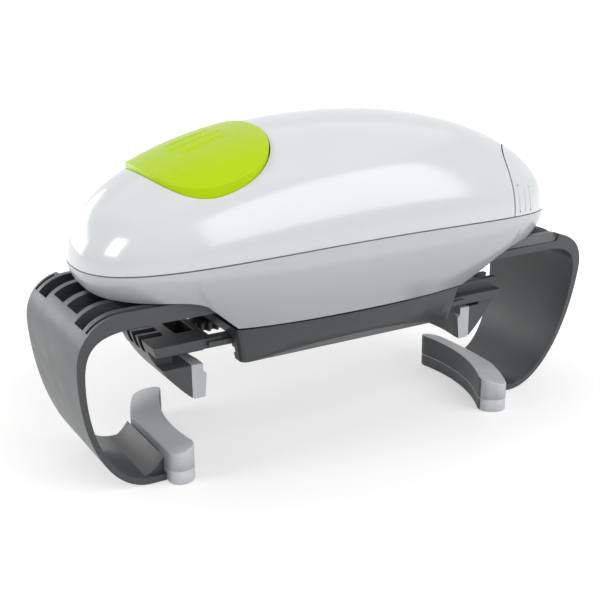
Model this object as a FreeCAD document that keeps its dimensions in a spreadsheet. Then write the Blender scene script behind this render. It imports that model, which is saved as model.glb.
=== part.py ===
import FreeCAD, Part
import math
import os
import re
import Sketcher
from FreeCAD import Placement, Rotation, Vector

# Electric jar opener, millimetres. Origin under the middle of the opener on the surface it
# stands on, +Z up, +X towards the battery end. The start button is at the -X end.
# Two arms close on the jar, two jaws close on the lid, and the carriage that holds the jaws
# turns about the vertical axis.

doc = FreeCAD.newDocument("JarOpener")

SIZES = (
    # white housing
    ("seam_half_length", 95.0, "half length of the housing at the seam"),
    ("seam_half_width", 43.1, "half width of the housing at the seam"),
    ("seam_height", 81.6, "height of the seam at mid length"),
    ("seam_drop", 6.0, "how far the seam falls from mid length to the ends"),
    ("dome_rise", 36.5, "height of the dome over the seam"),
    ("shell_wall", 2.2, "wall of both shells"),
    ("skirt_bottom", 52.6, "lower edge of the bottom shell"),
    ("skirt_half_length", 70.0, "half length of the skirt's plan oval at its lower edge"),
    ("skirt_half_width", 30.0, "half width of the skirt at its lower edge"),
    ("skirt_corner", 47.6, "where the skirt's lower edge ends, from mid length"),
    ("scoop_length", 24.2, "length of the concave flare from the skirt corner outwards"),
    # battery cover
    ("cover_side", 60.5, "battery cover's edge at the seam, from mid length"),
    ("cover_bulge", 18.0, "how far the cover's edge bows outwards at the top"),
    ("cover_bow_width", 34.0, "half width of that bow"),
    ("latch_half_width", 6.0, "half width of the tongue at the cover's crest"),
    ("latch_reach", 4.0, "how far that tongue reaches to each side of the cover's edge"),
    ("latch_root", 1.0, "where the tongue joins the cover, beyond its edge"),
    # start button
    ("button_centre", 51.0, "button centre from mid length, towards -X"),
    ("button_half_length", 22.3, "half length of the button"),
    ("button_half_width", 30.8, "half width of the button"),
    ("button_crown", 0.8, "how far the button's top rises over the dome's crest line"),
    ("button_flare", 5.0, "how much wider and longer the flatter dome of the button's top is"),
    ("button_wall", 2.0, "wall of the button cap"),
    ("button_sink", 2.6, "how far the button's skirt reaches under the dome's outer face"),
    ("button_rim", 1.2, "rounding of the button's rim"),
    ("button_travel", 2.0, "travel of the button"),
    ("plunger_radius", 2.6, "radius of the button's plunger"),
    ("button_gap", 0.35, "gap round the button"),
    # fits
    ("slip", 0.3, "gap beside a piece that slides or turns past another"),
    ("running", 0.05, "radial clearance of a shaft in its bore"),
    ("seat_gap", 0.1, "gap round a piece that is let into another"),
    # arms
    ("arm_top", 66.4, "top of the arms' plates"),
    ("arm_plate", 5.6, "height of the arms' ribbed plates"),
    ("arm_skin", 1.8, "floor of the channels in the plates"),
    ("arm_start", 53.0, "inner end of the plates when open, from mid length"),
    ("arm_bend", 88.0, "where the plates start to bend down"),
    ("arm_reach", 104.5, "widest point of the arms, from mid length"),
    ("arm_widest_height", 50.0, "height of the arms' widest point"),
    ("arm_wall", 2.8, "wall of the arms at their widest point"),
    ("bend_lead", 4.0, "how far the inner face bends before the outer one does"),
    ("arm_half_width", 28.0, "half width of the plates"),
    ("foot_half_width", 18.7, "half width of the arms at the floor"),
    ("foot_heel", 78.5, "where the arms reach the floor, from mid length"),
    ("foot_tip", 73.3, "inner end of the feet, from mid length"),
    ("foot_wall", 2.6, "thickness of the feet"),
    ("rib_pitch", 10.9, "spacing of the ribs on the plates"),
    ("rib_wall", 1.8, "wall of the ribs"),
    ("channel_end", 99.0, "outer end of the channels, from mid length"),
    ("tunnel_gap", 0.6, "gap under the plates, for the start of the bend when the arms are closed"),
    ("rack_back", 13.5, "back of an arm's rack, from the middle"),
    ("rack_overrun", 8.0, "how far a rack reaches past the middle when open"),
    ("rack_root", 6.0, "length over which a rack is joined to its plate"),
    ("tongue_wall", 2.9, "wall of the tongue inside a foot pad"),
    ("tongue_height", 8.2, "height of that tongue and of the ramp behind it"),
    ("tongue_half_width", 12.0, "half width of that tongue"),
    ("ramp_length", 10.5, "length of the ramp that rises to the tongue"),
    ("ramp_half_width", 17.0, "half width of that ramp"),
    # foot pads
    ("pad_height", 13.8, "height of the foot pads at their jar face"),
    ("pad_fall", 2.8, "how much lower the pads are at their back"),
    ("pad_depth", 65.0, "deepest point of the pads' jar face, from mid length"),
    ("pad_radius", 69.0, "radius of the jar face"),
    ("pad_wall", 11.0, "thickness of the pads along their radius"),
    ("pad_shift", 8.0, "how far the jar face's middle lies off the arm's middle"),
    ("pad_long_turn", 33.0, "longer end of a pad, in degrees round the jar face's middle"),
    ("pad_short_turn", 13.5, "shorter end of a pad, in degrees round the jar face's middle"),
    ("pad_end_radius", 4.4, "rounding of the pads' ends in plan"),
    # rack drive of the arms and of the jaws
    ("drive_module", 1.0, "module of both rack drives"),
    ("arm_pinion_teeth", 16, "teeth of the arm pinion"),
    ("jaw_pinion_teeth", 18, "teeth of the jaw pinion"),
    ("mesh_play", 0.12, "backlash of each gear"),
    # chassis inside the skirt
    ("chassis_gap", 0.9, "how far the chassis lies above the skirt's lower edge"),
    ("chassis_wall", 3.0, "floor of the chassis"),
    ("chassis_end_wall", 2.2, "sloping end walls of the chassis"),
    ("chassis_end_inset", 1.2, "how far those walls lie inside the skirt's flare"),
    ("bearing_radius", 8.5, "bearing boss of the chassis"),
    # carriage
    ("carriage_top", 51.5, "top of the carriage"),
    ("carriage_bottom", 38.3, "underside of the carriage"),
    ("carriage_half_length", 47.2, "half length of the carriage at its top"),
    ("carriage_half_width", 24.2, "half width of the carriage's ends at its top"),
    ("carriage_draft", 2.7, "how far the sides and ends draw in towards the underside"),
    ("carriage_bow", 4.6, "how far the long sides bow outwards"),
    ("carriage_corner", 2.5, "rounding of the carriage's upright corners"),
    ("carriage_chamfer_line", 22.0, "half width of the flat underside"),
    ("carriage_chamfer_rise", 8.0, "height of the chamfer's cutting wedge"),
    ("carriage_chamfer_spread", 9.1, "width of the chamfer's cutting wedge"),
    ("track_half_width", 16.4, "half width of the track between the side walls"),
    ("track_roof", 47.9, "underside of the carriage's roof"),
    ("groove_depth", 1.6, "depth of the runner grooves in the side walls"),
    ("groove_height", 2.4, "height of the runner grooves"),
    ("bottom_plate", 1.6, "thickness of the carriage's bottom plate"),
    ("bottom_ledge", 14.4, "inner edge of the bottom plate's strips"),
    ("bottom_strip_edge", 21.2, "outer edge of those strips"),
    ("bottom_strip_end", 40.0, "end of those strips, from mid length"),
    ("bottom_bridge", 14.0, "half length of the bottom plate's bridge"),
    ("jaw_axle_radius", 2.0, "axle of the jaw pinion"),
    # jaws
    ("jaw_start", 52.5, "inner end of a jaw's tray when open, from mid length"),
    ("jaw_wall_start", 64.5, "inner face of a jaw's outer wall, from mid length"),
    ("jaw_reach", 74.5, "outermost point of a jaw, from mid length"),
    ("jaw_level", 43.85, "level that parts the upper guide leg from the lower rack leg"),
    ("leg_gap", 0.15, "gap of each leg to that level"),
    ("leg_wall", 3.8, "wall of a guide leg"),
    ("guide_leg_tip", 10.0, "tip of a guide leg when open, before mid length"),
    ("jaw_rack_overrun", 6.0, "how far a jaw's rack reaches past the middle when open"),
    ("jaw_half_width", 13.8, "half width of a jaw's claw"),
    ("jaw_tip_height", 25.2, "tip of a claw above the floor"),
    ("jaw_tip", 59.4, "tip of a claw, from mid length"),
    ("jaw_pad_face", 54.4, "lid face of a jaw pad, from mid length"),
    ("jaw_pad_wall", 5.6, "thickness of a jaw pad"),
    ("jaw_pad_top", 38.0, "top of a jaw pad"),
    ("jaw_pad_chamfer", 0.8, "chamfers at a jaw pad's tip"),
    ("jaw_pad_lip", 2.8, "height of the lip at a jaw pad's top"),
    ("jaw_pad_step", 1.2, "how far that lip stands back"),
    ("jaw_tray_rim", 2.4, "walls round the hollow in a jaw's tray"),
    ("jaw_tray_floor", 1.2, "floor of that hollow"),
    ("slot_skin", 1.6, "wall between a jaw's outer wall and the slots in its back"),
    ("slot_width", 3.6, "width of those slots"),
    ("slot_pitch", 5.6, "spacing of those slots"),
    ("slot_floor", 2.0, "floor of those slots"),
    ("lid_radius", 52.0, "radius of the hollow in the jaw pads"),
    # spindle and gear train
    ("spindle_radius", 4.0, "shaft that carries the carriage"),
    ("hub_pin_radius", 1.5, "pins of the spindle's flange in the carriage's roof"),
    ("hub_pin_circle", 8.0, "those pins from the axis"),
    ("flange_radius", 12.0, "flange of the spindle on the carriage"),
    ("flange_wall", 1.7, "thickness of the flange"),
    ("square_drive", 5.6, "square end of the spindle in the turntable gear"),
    ("train_module", 0.8, "module of the reduction gears"),
    ("turntable_teeth", 50, "teeth of the turntable gear"),
    ("wheel_teeth", 40, "teeth of each reduction wheel"),
    ("step_teeth", 12, "teeth of each reduction pinion"),
    ("motor_teeth", 10, "teeth of the motor pinion"),
    ("first_angle", 180.0, "direction from the turntable gear to gear B, degrees"),
    ("second_angle", 62.0, "direction from gear B to gear A, degrees"),
    ("third_angle", -40.0, "direction from gear A to the motor, degrees"),
    ("turntable_wall", 3.5, "face width of the turntable gear"),
    ("wheel_wall", 2.6, "face width of the reduction wheels"),
    ("gear_gap", 0.6, "gap between gears on different levels"),
    ("gear_axle_radius", 1.5, "axles of the reduction gears"),
    ("motor_radius", 12.0, "motor can"),
    ("motor_length", 25.0, "length of the motor can"),
    ("motor_shaft_radius", 1.0, "motor shaft"),
    ("motor_boss_radius", 3.0, "bearing boss on the motor's face"),
    ("motor_cap_radius", 5.4, "end cap of the motor"),
    ("motor_cap", 1.5, "height of that cap"),
    ("shaft_reach", 4.0, "how far the shaft reaches into the motor"),
    # deck and gear plate
    ("deck_wall", 2.0, "thickness of the gear deck"),
    ("deck_end", 74.0, "end of the deck at the button end, from mid length"),
    ("deck_end_right", 70.0, "end of the deck at the battery end, from mid length"),
    ("deck_half_width", 15.0, "half width of the deck's ends"),
    ("deck_middle", 50.0, "half length of the deck's wide middle"),
    ("deck_middle_width", 30.0, "half width of the deck's wide middle"),
    ("peg_along", 57.0, "locating pegs of the deck, from mid length"),
    ("peg_across", 10.0, "locating pegs of the deck, from the middle"),
    ("peg_half", 1.5, "half side of the square locating pegs"),
    ("plate_wall", 2.0, "thickness of the gear plate"),
    ("plate_edge", 4.6, "margin of the gear plate round its spacers"),
    ("spacer_half", 2.4, "half side of the square spacers between deck and gear plate"),
    ("spacer_peg", 1.2, "half side of the pegs on those spacers"),
    ("peg_end", 0.6, "how far pegs stand out of what they hold"),
    ("spacer_left", 38.0, "spacers nearest the button, from mid length"),
    ("spacer_right", 13.0, "spacers nearest the battery, from mid length"),
    ("spacer_front", 24.5, "front spacers, from the middle"),
    ("spacer_back", 25.5, "back spacers, from the middle"),
    # batteries
    ("cell_radius", 7.25, "AA cell"),
    ("cell_length", 49.5, "AA cell without its terminal"),
    ("cell_terminal", 1.0, "height of the cell's terminal"),
    ("cell_terminal_radius", 2.75, "radius of the cell's terminal"),
    ("cell_spacing", 15.4, "distance between the two cells' axes"),
    ("cell_start", 27.6, "inner end of the cells, from mid length"),
    ("tray_wall", 1.6, "walls of the battery tray"),
    ("tray_foot", 5.25, "hollow foot of the battery tray under its floor"),
    ("tray_drop", 1.4, "how far the tray's rim lies under the cells' axes"),
    ("spring_space", 3.0, "room for the contact springs"),
    ("contact_wall", 0.4, "contact plates"),
    ("contact_wire", 0.35, "half thickness of the contact springs' wire"),
    ("contact_spring_radius", 3.6, "mean radius of the contact springs"),
    ("contact_spring_turns", 2, "turns of each contact spring"),
    # board and switch
    ("board_centre", 57.0, "middle of the circuit board from mid length, towards -X"),
    ("board_posts", 17.8, "height of the posts under the circuit board"),
    ("board_wall", 1.6, "thickness of the circuit board"),
    ("board_half_length", 12.0, "half length of the circuit board"),
    ("board_half_width", 15.0, "half width of the circuit board"),
    ("post_inset", 3.2, "posts under the circuit board, from the board's edges"),
    ("post_half", 2.2, "half side of those square posts"),
    ("post_peg", 1.0, "half side of the pegs on the posts"),
    ("switch_half_size", 3.0, "half size of the switch body"),
    ("switch_height", 4.3, "height of the switch body"),
    ("switch_key_radius", 1.7, "radius of the switch's key"),
    ("switch_key_height", 1.0, "height of the switch's key"),
    ("spring_length", 8.0, "length of the button spring"),
    ("collar_radius", 7.4, "collar on the button's plunger"),
    ("spring_radius", 6.0, "mean radius of the button spring"),
    ("spring_wire", 0.45, "half thickness of the button spring's wire"),
    ("spring_turns", 4, "turns of the button spring"),
    # screws and their bosses
    ("screw_head_radius", 1.9, "head of a housing screw"),
    ("screw_head", 1.1, "height of that head"),
    ("boss_radius", 2.4, "bosses that join the two shells"),
    ("boss_height", 5.0, "height of the bottom shell's bosses over its floor"),
    ("housing_screw_along", 78.0, "housing screws from mid length"),
    ("housing_screw_across", 19.5, "housing screws from the middle"),
    ("retainer_radius", 5.0, "head of the screw that holds the turntable gear"),
    ("retainer_shank", 1.2, "shank of that screw"),
    ("retainer_depth", 5.0, "how deep it goes into the spindle"),
)

sheet = doc.addObject("Spreadsheet::Sheet", "Sizes")
for row, (alias, value, meaning) in enumerate(SIZES, 1):
    sheet.set("A%d" % row, alias)
    sheet.set("B%d" % row, str(value))
    sheet.set("C%d" % row, meaning)
    sheet.setAlias("B%d" % row, alias)
doc.recompute()

ALIASES = [alias for alias, _, _ in SIZES]


def size(alias):
    return float(sheet.get(alias))


def bound(text):
    """An expression in which each alias is read from the sheet."""
    return re.sub(r"[a-z]\w*", lambda word: "Sizes." + word.group() if word.group() in ALIASES
                  else word.group(), text)


# ---------------------------------------------------------------- levels and places

SEAM = size("seam_height")
SHOULDER = SEAM - size("seam_drop")
SKIRT = size("skirt_bottom")
TUNNEL_BOTTOM = size("arm_top") - size("arm_plate") - size("tunnel_gap")
TUNNEL_TOP = size("arm_top") + size("slip")
END_FLOOR = TUNNEL_TOP + size("slip")
DECK_BOTTOM = END_FLOOR + size("shell_wall")
DECK_TOP = DECK_BOTTOM + size("deck_wall")
CHASSIS_BOTTOM = SKIRT + size("chassis_gap")
CHASSIS_TOP = CHASSIS_BOTTOM + size("chassis_wall")
TURNTABLE_BOTTOM = DECK_TOP + size("gear_gap")
TURNTABLE_TOP = TURNTABLE_BOTTOM + size("turntable_wall")
SECOND_BOTTOM = TURNTABLE_TOP + size("gear_gap")
SECOND_TOP = SECOND_BOTTOM + size("wheel_wall")
THIRD_BOTTOM = SECOND_TOP + size("gear_gap")
THIRD_TOP = THIRD_BOTTOM + size("wheel_wall")
PLATE_BOTTOM = THIRD_TOP + size("gear_gap")
PLATE_TOP = PLATE_BOTTOM + size("plate_wall")
BOARD_TOP = DECK_TOP + size("board_posts") + size("board_wall")
CELL_LEVEL = (DECK_TOP + size("tray_foot") + size("tray_wall") + size("seat_gap")
              + size("cell_radius"))

# planes clear of the whole object, for what cuts right through
BEYOND = size("arm_reach") + 10
BESIDE = size("seam_half_width") + 5
ABOVE = SEAM + size("dome_rise") + 20

# the same levels as expressions, for the features that are bound to the sheet
END_FLOOR_X = "(arm_top + 2 * slip)"
DECK_BOTTOM_X = "(%s + shell_wall)" % END_FLOOR_X
DECK_TOP_X = "(%s + deck_wall)" % DECK_BOTTOM_X
TURNTABLE_TOP_X = "(%s + gear_gap + turntable_wall)" % DECK_TOP_X
SECOND_TOP_X = "(%s + gear_gap + wheel_wall)" % TURNTABLE_TOP_X
THIRD_TOP_X = "(%s + gear_gap + wheel_wall)" % SECOND_TOP_X
PLATE_BOTTOM_X = "(%s + gear_gap)" % THIRD_TOP_X
PLATE_TOP_X = "(%s + plate_wall)" % PLATE_BOTTOM_X
CHASSIS_BOTTOM_X = "(skirt_bottom + chassis_gap)"
CHASSIS_TOP_X = "(%s + chassis_wall)" % CHASSIS_BOTTOM_X
BOARD_X = "(%s + board_posts)" % DECK_TOP_X
BOARD_TOP_X = "(%s + board_wall)" % BOARD_X
TRAY_FLOOR_X = "(%s + tray_foot + tray_wall)" % DECK_TOP_X
CELL_LEVEL_X = "(%s + seat_gap + cell_radius)" % TRAY_FLOOR_X
TRAY_RIM_X = "(%s - tray_drop)" % CELL_LEVEL_X


def gear_places():
    """Axes of gear B, gear A and the motor, one centre distance after another."""
    half = size("train_module") / 2
    distances = (half * (size("turntable_teeth") + size("step_teeth")),
                 half * (size("wheel_teeth") + size("step_teeth")),
                 half * (size("wheel_teeth") + size("motor_teeth")))
    angles = (size("first_angle"), size("second_angle"), size("third_angle"))
    places = [Vector(0, 0, 0)]
    for distance, angle in zip(distances, angles):
        turn = math.radians(angle)
        places.append(places[-1] + Vector(distance * math.cos(turn), distance * math.sin(turn), 0))
    return places[1:]


GEAR_B, GEAR_A, MOTOR = gear_places()

FIRST_X = "(train_module * (turntable_teeth + step_teeth) / 2)"
SECOND_X = "(train_module * (wheel_teeth + step_teeth) / 2)"
THIRD_X = "(train_module * (wheel_teeth + motor_teeth) / 2)"
GEAR_B_X = ("%s * cos(first_angle * 1 deg)" % FIRST_X, "%s * sin(first_angle * 1 deg)" % FIRST_X)
GEAR_A_X = ("%s + %s * cos(second_angle * 1 deg)" % (GEAR_B_X[0], SECOND_X),
            "%s + %s * sin(second_angle * 1 deg)" % (GEAR_B_X[1], SECOND_X))
MOTOR_X = ("%s + %s * cos(third_angle * 1 deg)" % (GEAR_A_X[0], THIRD_X),
           "%s + %s * sin(third_angle * 1 deg)" % (GEAR_A_X[1], THIRD_X))


# ---------------------------------------------------------------- document helpers

def feature(name, shape, place=Placement()):
    """A sub-part whose shape is worked out here, set down at its place."""
    piece = doc.addObject("Part::Feature", name)
    piece.Label = name
    piece.Shape = shape
    piece.Placement = place.multiply(shape.Placement)
    return piece


def cylinder(radius, height, x="0", y="0", z="0"):
    piece = doc.addObject("Part::Cylinder", "cylinder")
    piece.setExpression("Radius", bound(radius))
    piece.setExpression("Height", bound(height))
    move(piece, x, y, z)
    return piece


def block(length, width, height, x="0", y="0", z="0"):
    """A box whose lower corner is at x, y, z."""
    piece = doc.addObject("Part::Box", "block")
    piece.setExpression("Length", bound(length))
    piece.setExpression("Width", bound(width))
    piece.setExpression("Height", bound(height))
    move(piece, x, y, z)
    return piece


def move(piece, x, y, z):
    for axis, text in zip("xyz", (x, y, z)):
        piece.setExpression("Placement.Base." + axis, bound(text))


def along_x(piece):
    piece.Placement = Placement(piece.Placement.Base, Rotation(Vector(0, 1, 0), 90))
    return piece


def joined(name, pieces):
    whole = doc.addObject("Part::MultiFuse", name)
    whole.Shapes = pieces
    whole.Label = name
    return whole


def cut(name, base, tools):
    tool = tools[0] if len(tools) == 1 else joined(name + "_tools", tools)
    result = doc.addObject("Part::Cut", name)
    result.Base = base
    result.Tool = tool
    result.Label = name
    return result


def group(name, pieces):
    """Separate solids that share one node."""
    whole = doc.addObject("Part::Compound", name)
    whole.Links = pieces
    whole.Label = name
    return whole


def new_body(name):
    body = doc.addObject("PartDesign::Body", name)
    body.Label = name
    return body


def new_sketch(body, role="XY_Plane", offset=None):
    sketch = body.newObject("Sketcher::SketchObject", body.Name + "_sketch")
    plane = next(item for item in body.Origin.OriginFeatures if item.Role == role)
    sketch.AttachmentSupport = [(plane, "")]
    sketch.MapMode = "FlatFace"
    if offset:
        sketch.setExpression("AttachmentOffset.Base.z", bound(offset))
    return sketch


def pin_point(sketch, shape, point, x, y, start):
    """Hold one point of the sketch at bound distances from its origin."""
    for kind, text, value in (("DistanceX", x, start.x), ("DistanceY", y, start.y)):
        number = sketch.addConstraint(Sketcher.Constraint(kind, -1, 1, shape, point, value))
        sketch.setExpression("Constraints[%d]" % number, bound(text))


def draw_polygon(sketch, corners):
    count = len(corners)
    first = sketch.GeometryCount
    starts = [Vector(9 * math.cos(2 * math.pi * i / count), 9 * math.sin(2 * math.pi * i / count), 0)
              for i in range(count)]
    for i in range(count):
        sketch.addGeometry(Part.LineSegment(starts[i], starts[(i + 1) % count]), False)
    for i in range(count):
        following = first + (i + 1) % count
        sketch.addConstraint(Sketcher.Constraint("Coincident", first + i, 2, following, 1))
        pin_point(sketch, first + i, 1, corners[i][0], corners[i][1], starts[i])


def draw_rectangle(sketch, left, front, right, back):
    draw_polygon(sketch, [(left, front), (right, front), (right, back), (left, back)])


def draw_square(sketch, x, y, half):
    """A square round x, y."""
    low_x, high_x = ("%s - (%s)" % (x, half), "%s + (%s)" % (x, half))
    low_y, high_y = ("%s - (%s)" % (y, half), "%s + (%s)" % (y, half))
    draw_rectangle(sketch, low_x, low_y, high_x, high_y)


def draw_circle(sketch, x, y, radius):
    number = sketch.addGeometry(Part.Circle(Vector(3, 4, 0), Vector(0, 0, 1), 2), False)
    pin_point(sketch, number, 3, x, y, Vector(3, 4, 0))
    held = sketch.addConstraint(Sketcher.Constraint("Radius", number, 2))
    sketch.setExpression("Constraints[%d]" % held, bound(radius))


def pad(body, sketch, length, downwards=False):
    piece = body.newObject("PartDesign::Pad", body.Name + "_pad")
    piece.Profile = sketch
    piece.setExpression("Length", bound(length))
    piece.Reversed = downwards
    return piece


def pocket(body, sketch, length, upwards=False):
    """Cuts downwards from its sketch, or upwards; it has to take material away."""
    doc.recompute()
    before = body.Shape.Volume
    piece = body.newObject("PartDesign::Pocket", body.Name + "_pocket")
    piece.Profile = sketch
    piece.setExpression("Length", bound(length))
    piece.Reversed = upwards
    doc.recompute()
    if body.Shape.Volume >= before:
        raise RuntimeError("a pocket of %s cuts nothing" % body.Name)
    return piece


def revolution(body, sketch):
    piece = body.newObject("PartDesign::Revolution", body.Name + "_revolution")
    piece.Profile = sketch
    piece.ReferenceAxis = (sketch, ["V_Axis"])
    piece.Angle = 360
    return piece


# ---------------------------------------------------------------- plain shapes

def bezier(points):
    curve = Part.BezierCurve()
    curve.setPoles(points)
    return curve.toShape()


def line(start, end):
    return Part.makeLine(start, end)


def box_between(low, high):
    return Part.makeBox(high[0] - low[0], high[1] - low[1], high[2] - low[2], Vector(*low))


def prism(points, direction):
    """A straight solid on a closed polygon."""
    return Part.Face(Part.makePolygon(points + points[:1])).extrude(direction)


def side_prism(edges, half):
    """A closed side view, grown to half its width both ways."""
    face = Part.Face(Part.Wire(Part.__sortEdges__(edges)))
    face.translate(Vector(0, -half, 0))
    return face.extrude(Vector(0, 2 * half, 0))


def turned(shape, degrees):
    copy = shape.copy()
    copy.rotate(Vector(0, 0, 0), Vector(0, 0, 1), degrees)
    return copy


def tube(radius, wall, height, base):
    return (Part.makeCylinder(radius, height, base)
            .cut(Part.makeCylinder(radius - wall, height, base)))


# ---------------------------------------------------------------- housing forms

PLAN_FULLNESS = 0.60      # how far the long sides stay full before they turn to the ends
NOSE_FULLNESS = 0.80      # how blunt the ends are in plan
CREST_FULLNESS = 0.60     # how blunt the ends are seen from the side
SECTION_FULLNESS = 0.62   # how full the dome's cross-section is
ARCH_FULLNESS = 1.06      # makes the seam's arch a parabola
BUTTON_FULLNESS = 0.575   # a little squarer than an ellipse
COVER_EASE = 0.37         # how softly the battery cover's edge turns into its bow
FLARE_START = (0.38, 0.6) # how steeply the skirt's flare leaves its corner
FLARE_END = 0.52          # how long it runs level at its end


def plan_poles(length, width):
    """Quarter of the housing's plan: from the middle of a side to the end point."""
    return ((0, width), (PLAN_FULLNESS * length, width), (length, NOSE_FULLNESS * width), (length, 0))


def arch_drops():
    drop = size("seam_drop")
    return (0, 0, ARCH_FULLNESS * drop, drop)


def dome_patch(length, width, rise, base, side_x, side_y):
    """One quarter of the dome, and its edge along the seam."""
    crest = (rise, rise, CREST_FULLNESS * rise, 0)
    across = (1, 1, SECTION_FULLNESS, 0)
    upwards = (0, SECTION_FULLNESS, 1, 1)
    patch = Part.BezierSurface()
    patch.increase(3, 3)
    rim = []
    for i, ((x, y), drop) in enumerate(zip(plan_poles(length, width), arch_drops())):
        for j in range(4):
            height = base - drop + crest[i] * upwards[j]
            pole = Vector(side_x * x, side_y * y * across[j], height)
            patch.setPole(i + 1, j + 1, pole)
            if j == 0:
                rim.append(pole)
    return patch.toShape(), bezier(rim)


def dome(outset=0.0, lift=None):
    """The solid over the seam, grown by outset, and upwards by lift where that is another size."""
    length = size("seam_half_length") + outset
    width = size("seam_half_width") + outset
    rise = size("dome_rise") + (outset if lift is None else lift)
    faces = []
    for side_x in (-1, 1):
        rims = []
        for side_y in (-1, 1):
            face, rim = dome_patch(length, width, rise, SEAM, side_x, side_y)
            faces.append(face)
            rims.append(rim)
        faces.append(Part.makeRuledSurface(rims[0], rims[1]))
    shell = Part.makeShell(faces)
    shell.sewShape()
    return Part.Solid(shell)


def hollow(outset):
    """A dome with its base carried a little below the seam, to cut another one open."""
    inner = dome(outset)
    lower = inner.copy()
    lower.translate(Vector(0, 0, -1))
    return inner.fuse(lower)


def plan_wire(length, width, height):
    edges = []
    for side_x, side_y in ((1, 1), (1, -1), (-1, -1), (-1, 1)):
        poles = [Vector(side_x * x, side_y * y, height) for x, y in plan_poles(length, width)]
        edges.append(bezier(poles if side_x == side_y else poles[::-1]))
    return Part.Wire(Part.__sortEdges__(edges))


def bowl(inset=0.0, below=0.0):
    """The solid under the seam: a skirt that opens upwards like a bowl."""
    steps = 5
    wires = []
    for i in range(steps + 1):
        share = i / steps
        swing = math.sin(share * math.pi / 2)
        length = size("skirt_half_length")
        length += (size("seam_half_length") - length) * swing - inset
        width = size("skirt_half_width")
        width += (size("seam_half_width") - width) * (share + swing) / 2 - inset
        wires.append(plan_wire(length, width, SKIRT + (SHOULDER - SKIRT) * share))
    solid = Part.makeLoft(wires, True, False)
    top = Part.Face(wires[-1]).extrude(Vector(0, 0, size("seam_drop") + 1))
    solid = solid.fuse(top)
    if below:
        solid = solid.fuse(Part.Face(wires[0]).extrude(Vector(0, 0, -below)))
    return solid


def over_seam():
    """Everything above the arched seam surface."""
    length = size("seam_half_length")
    edges = []
    for side in (1, -1):
        poles = [Vector(side * x, -BESIDE, SEAM - drop)
                 for (x, _), drop in zip(plan_poles(length, 0), arch_drops())]
        edges.append(bezier(poles))
    corners = [Vector(length, -BESIDE, SHOULDER), Vector(BEYOND, -BESIDE, SHOULDER),
               Vector(BEYOND, -BESIDE, ABOVE), Vector(-BEYOND, -BESIDE, ABOVE),
               Vector(-BEYOND, -BESIDE, SHOULDER), Vector(-length, -BESIDE, SHOULDER)]
    edges += [line(a, b) for a, b in zip(corners, corners[1:])]
    face = Part.Face(Part.Wire(Part.__sortEdges__(edges)))
    return face.extrude(Vector(0, 2 * BESIDE, 0))


def scoop_outline(side, outset=0.0):
    """Concave flare from the skirt's corner up to the flat underside of the ends."""
    start = Vector(side * (size("skirt_corner") - outset), 0, SKIRT - 1)
    corner = Vector(side * (size("skirt_corner") - outset), 0, SKIRT)
    end = Vector(side * (size("skirt_corner") + size("scoop_length")), 0, END_FLOOR + outset)
    run = side * size("scoop_length")
    flare = [corner, corner + Vector(FLARE_START[0] * run, 0, FLARE_START[1] * (end.z - SKIRT)),
             end - Vector(FLARE_END * run, 0, 0), end]
    return start, corner, flare, end


def scoop(side, outset=0.0):
    """What is scooped out of one end of the skirt."""
    start, corner, flare, end = scoop_outline(side, outset)
    far = side * BEYOND
    corners = [end, Vector(far, 0, end.z), Vector(far, 0, start.z), start, corner]
    edges = [line(a, b) for a, b in zip(corners, corners[1:])]
    edges.append(bezier(flare))
    face = Part.Face(Part.Wire(Part.__sortEdges__(edges)))
    face.translate(Vector(0, -BESIDE, 0))
    return face.extrude(Vector(0, 2 * BESIDE, 0))


def arm_tunnel():
    """Free way of both arms' plates through the housing."""
    half = size("arm_half_width") + size("slip")
    return box_between((-BEYOND, -half, TUNNEL_BOTTOM), (BEYOND, half, TUNNEL_TOP))


def cover_region(shift=0.0):
    """Everything beyond the bowed edge of the battery cover."""
    side = size("cover_side") + shift
    peak = side + size("cover_bulge")
    bow = size("cover_bow_width")
    ease = COVER_EASE * bow
    low = SHOULDER - 2
    back = bezier([Vector(side, bow, low), Vector(side, bow - ease, low),
                   Vector(peak, ease, low), Vector(peak, 0, low)])
    front = bezier([Vector(peak, 0, low), Vector(peak, -ease, low),
                    Vector(side, ease - bow, low), Vector(side, -bow, low)])
    corners = [Vector(side, -bow, low), Vector(side, -BESIDE, low), Vector(BEYOND, -BESIDE, low),
               Vector(BEYOND, BESIDE, low), Vector(side, BESIDE, low), Vector(side, bow, low)]
    edges = [back, front] + [line(a, b) for a, b in zip(corners, corners[1:])]
    face = Part.Face(Part.Wire(Part.__sortEdges__(edges)))
    return face.extrude(Vector(0, 0, ABOVE - low))


def button_column(outset=0.0):
    """Upright column on the button's plan, a slightly squared oval."""
    long_half = size("button_half_length") + outset
    wide_half = size("button_half_width") + outset
    edges = []
    for side_x, side_y in ((1, 1), (-1, 1), (-1, -1), (1, -1)):
        edges.append(bezier([Vector(side_x * long_half, 0, 0),
                             Vector(side_x * long_half, side_y * BUTTON_FULLNESS * wide_half, 0),
                             Vector(side_x * BUTTON_FULLNESS * long_half, side_y * wide_half, 0),
                             Vector(0, side_y * wide_half, 0)]))
    face = Part.Face(Part.Wire(Part.__sortEdges__(edges)))
    face.translate(Vector(-size("button_centre"), 0, SHOULDER))
    return face.extrude(Vector(0, 0, ABOVE - SHOULDER))


# ---------------------------------------------------------------- housing pieces

def housing_screw_spots(side):
    along = side * size("housing_screw_along")
    across = size("housing_screw_across")
    return [Vector(along, across, 0), Vector(along, -across, 0)]


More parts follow.
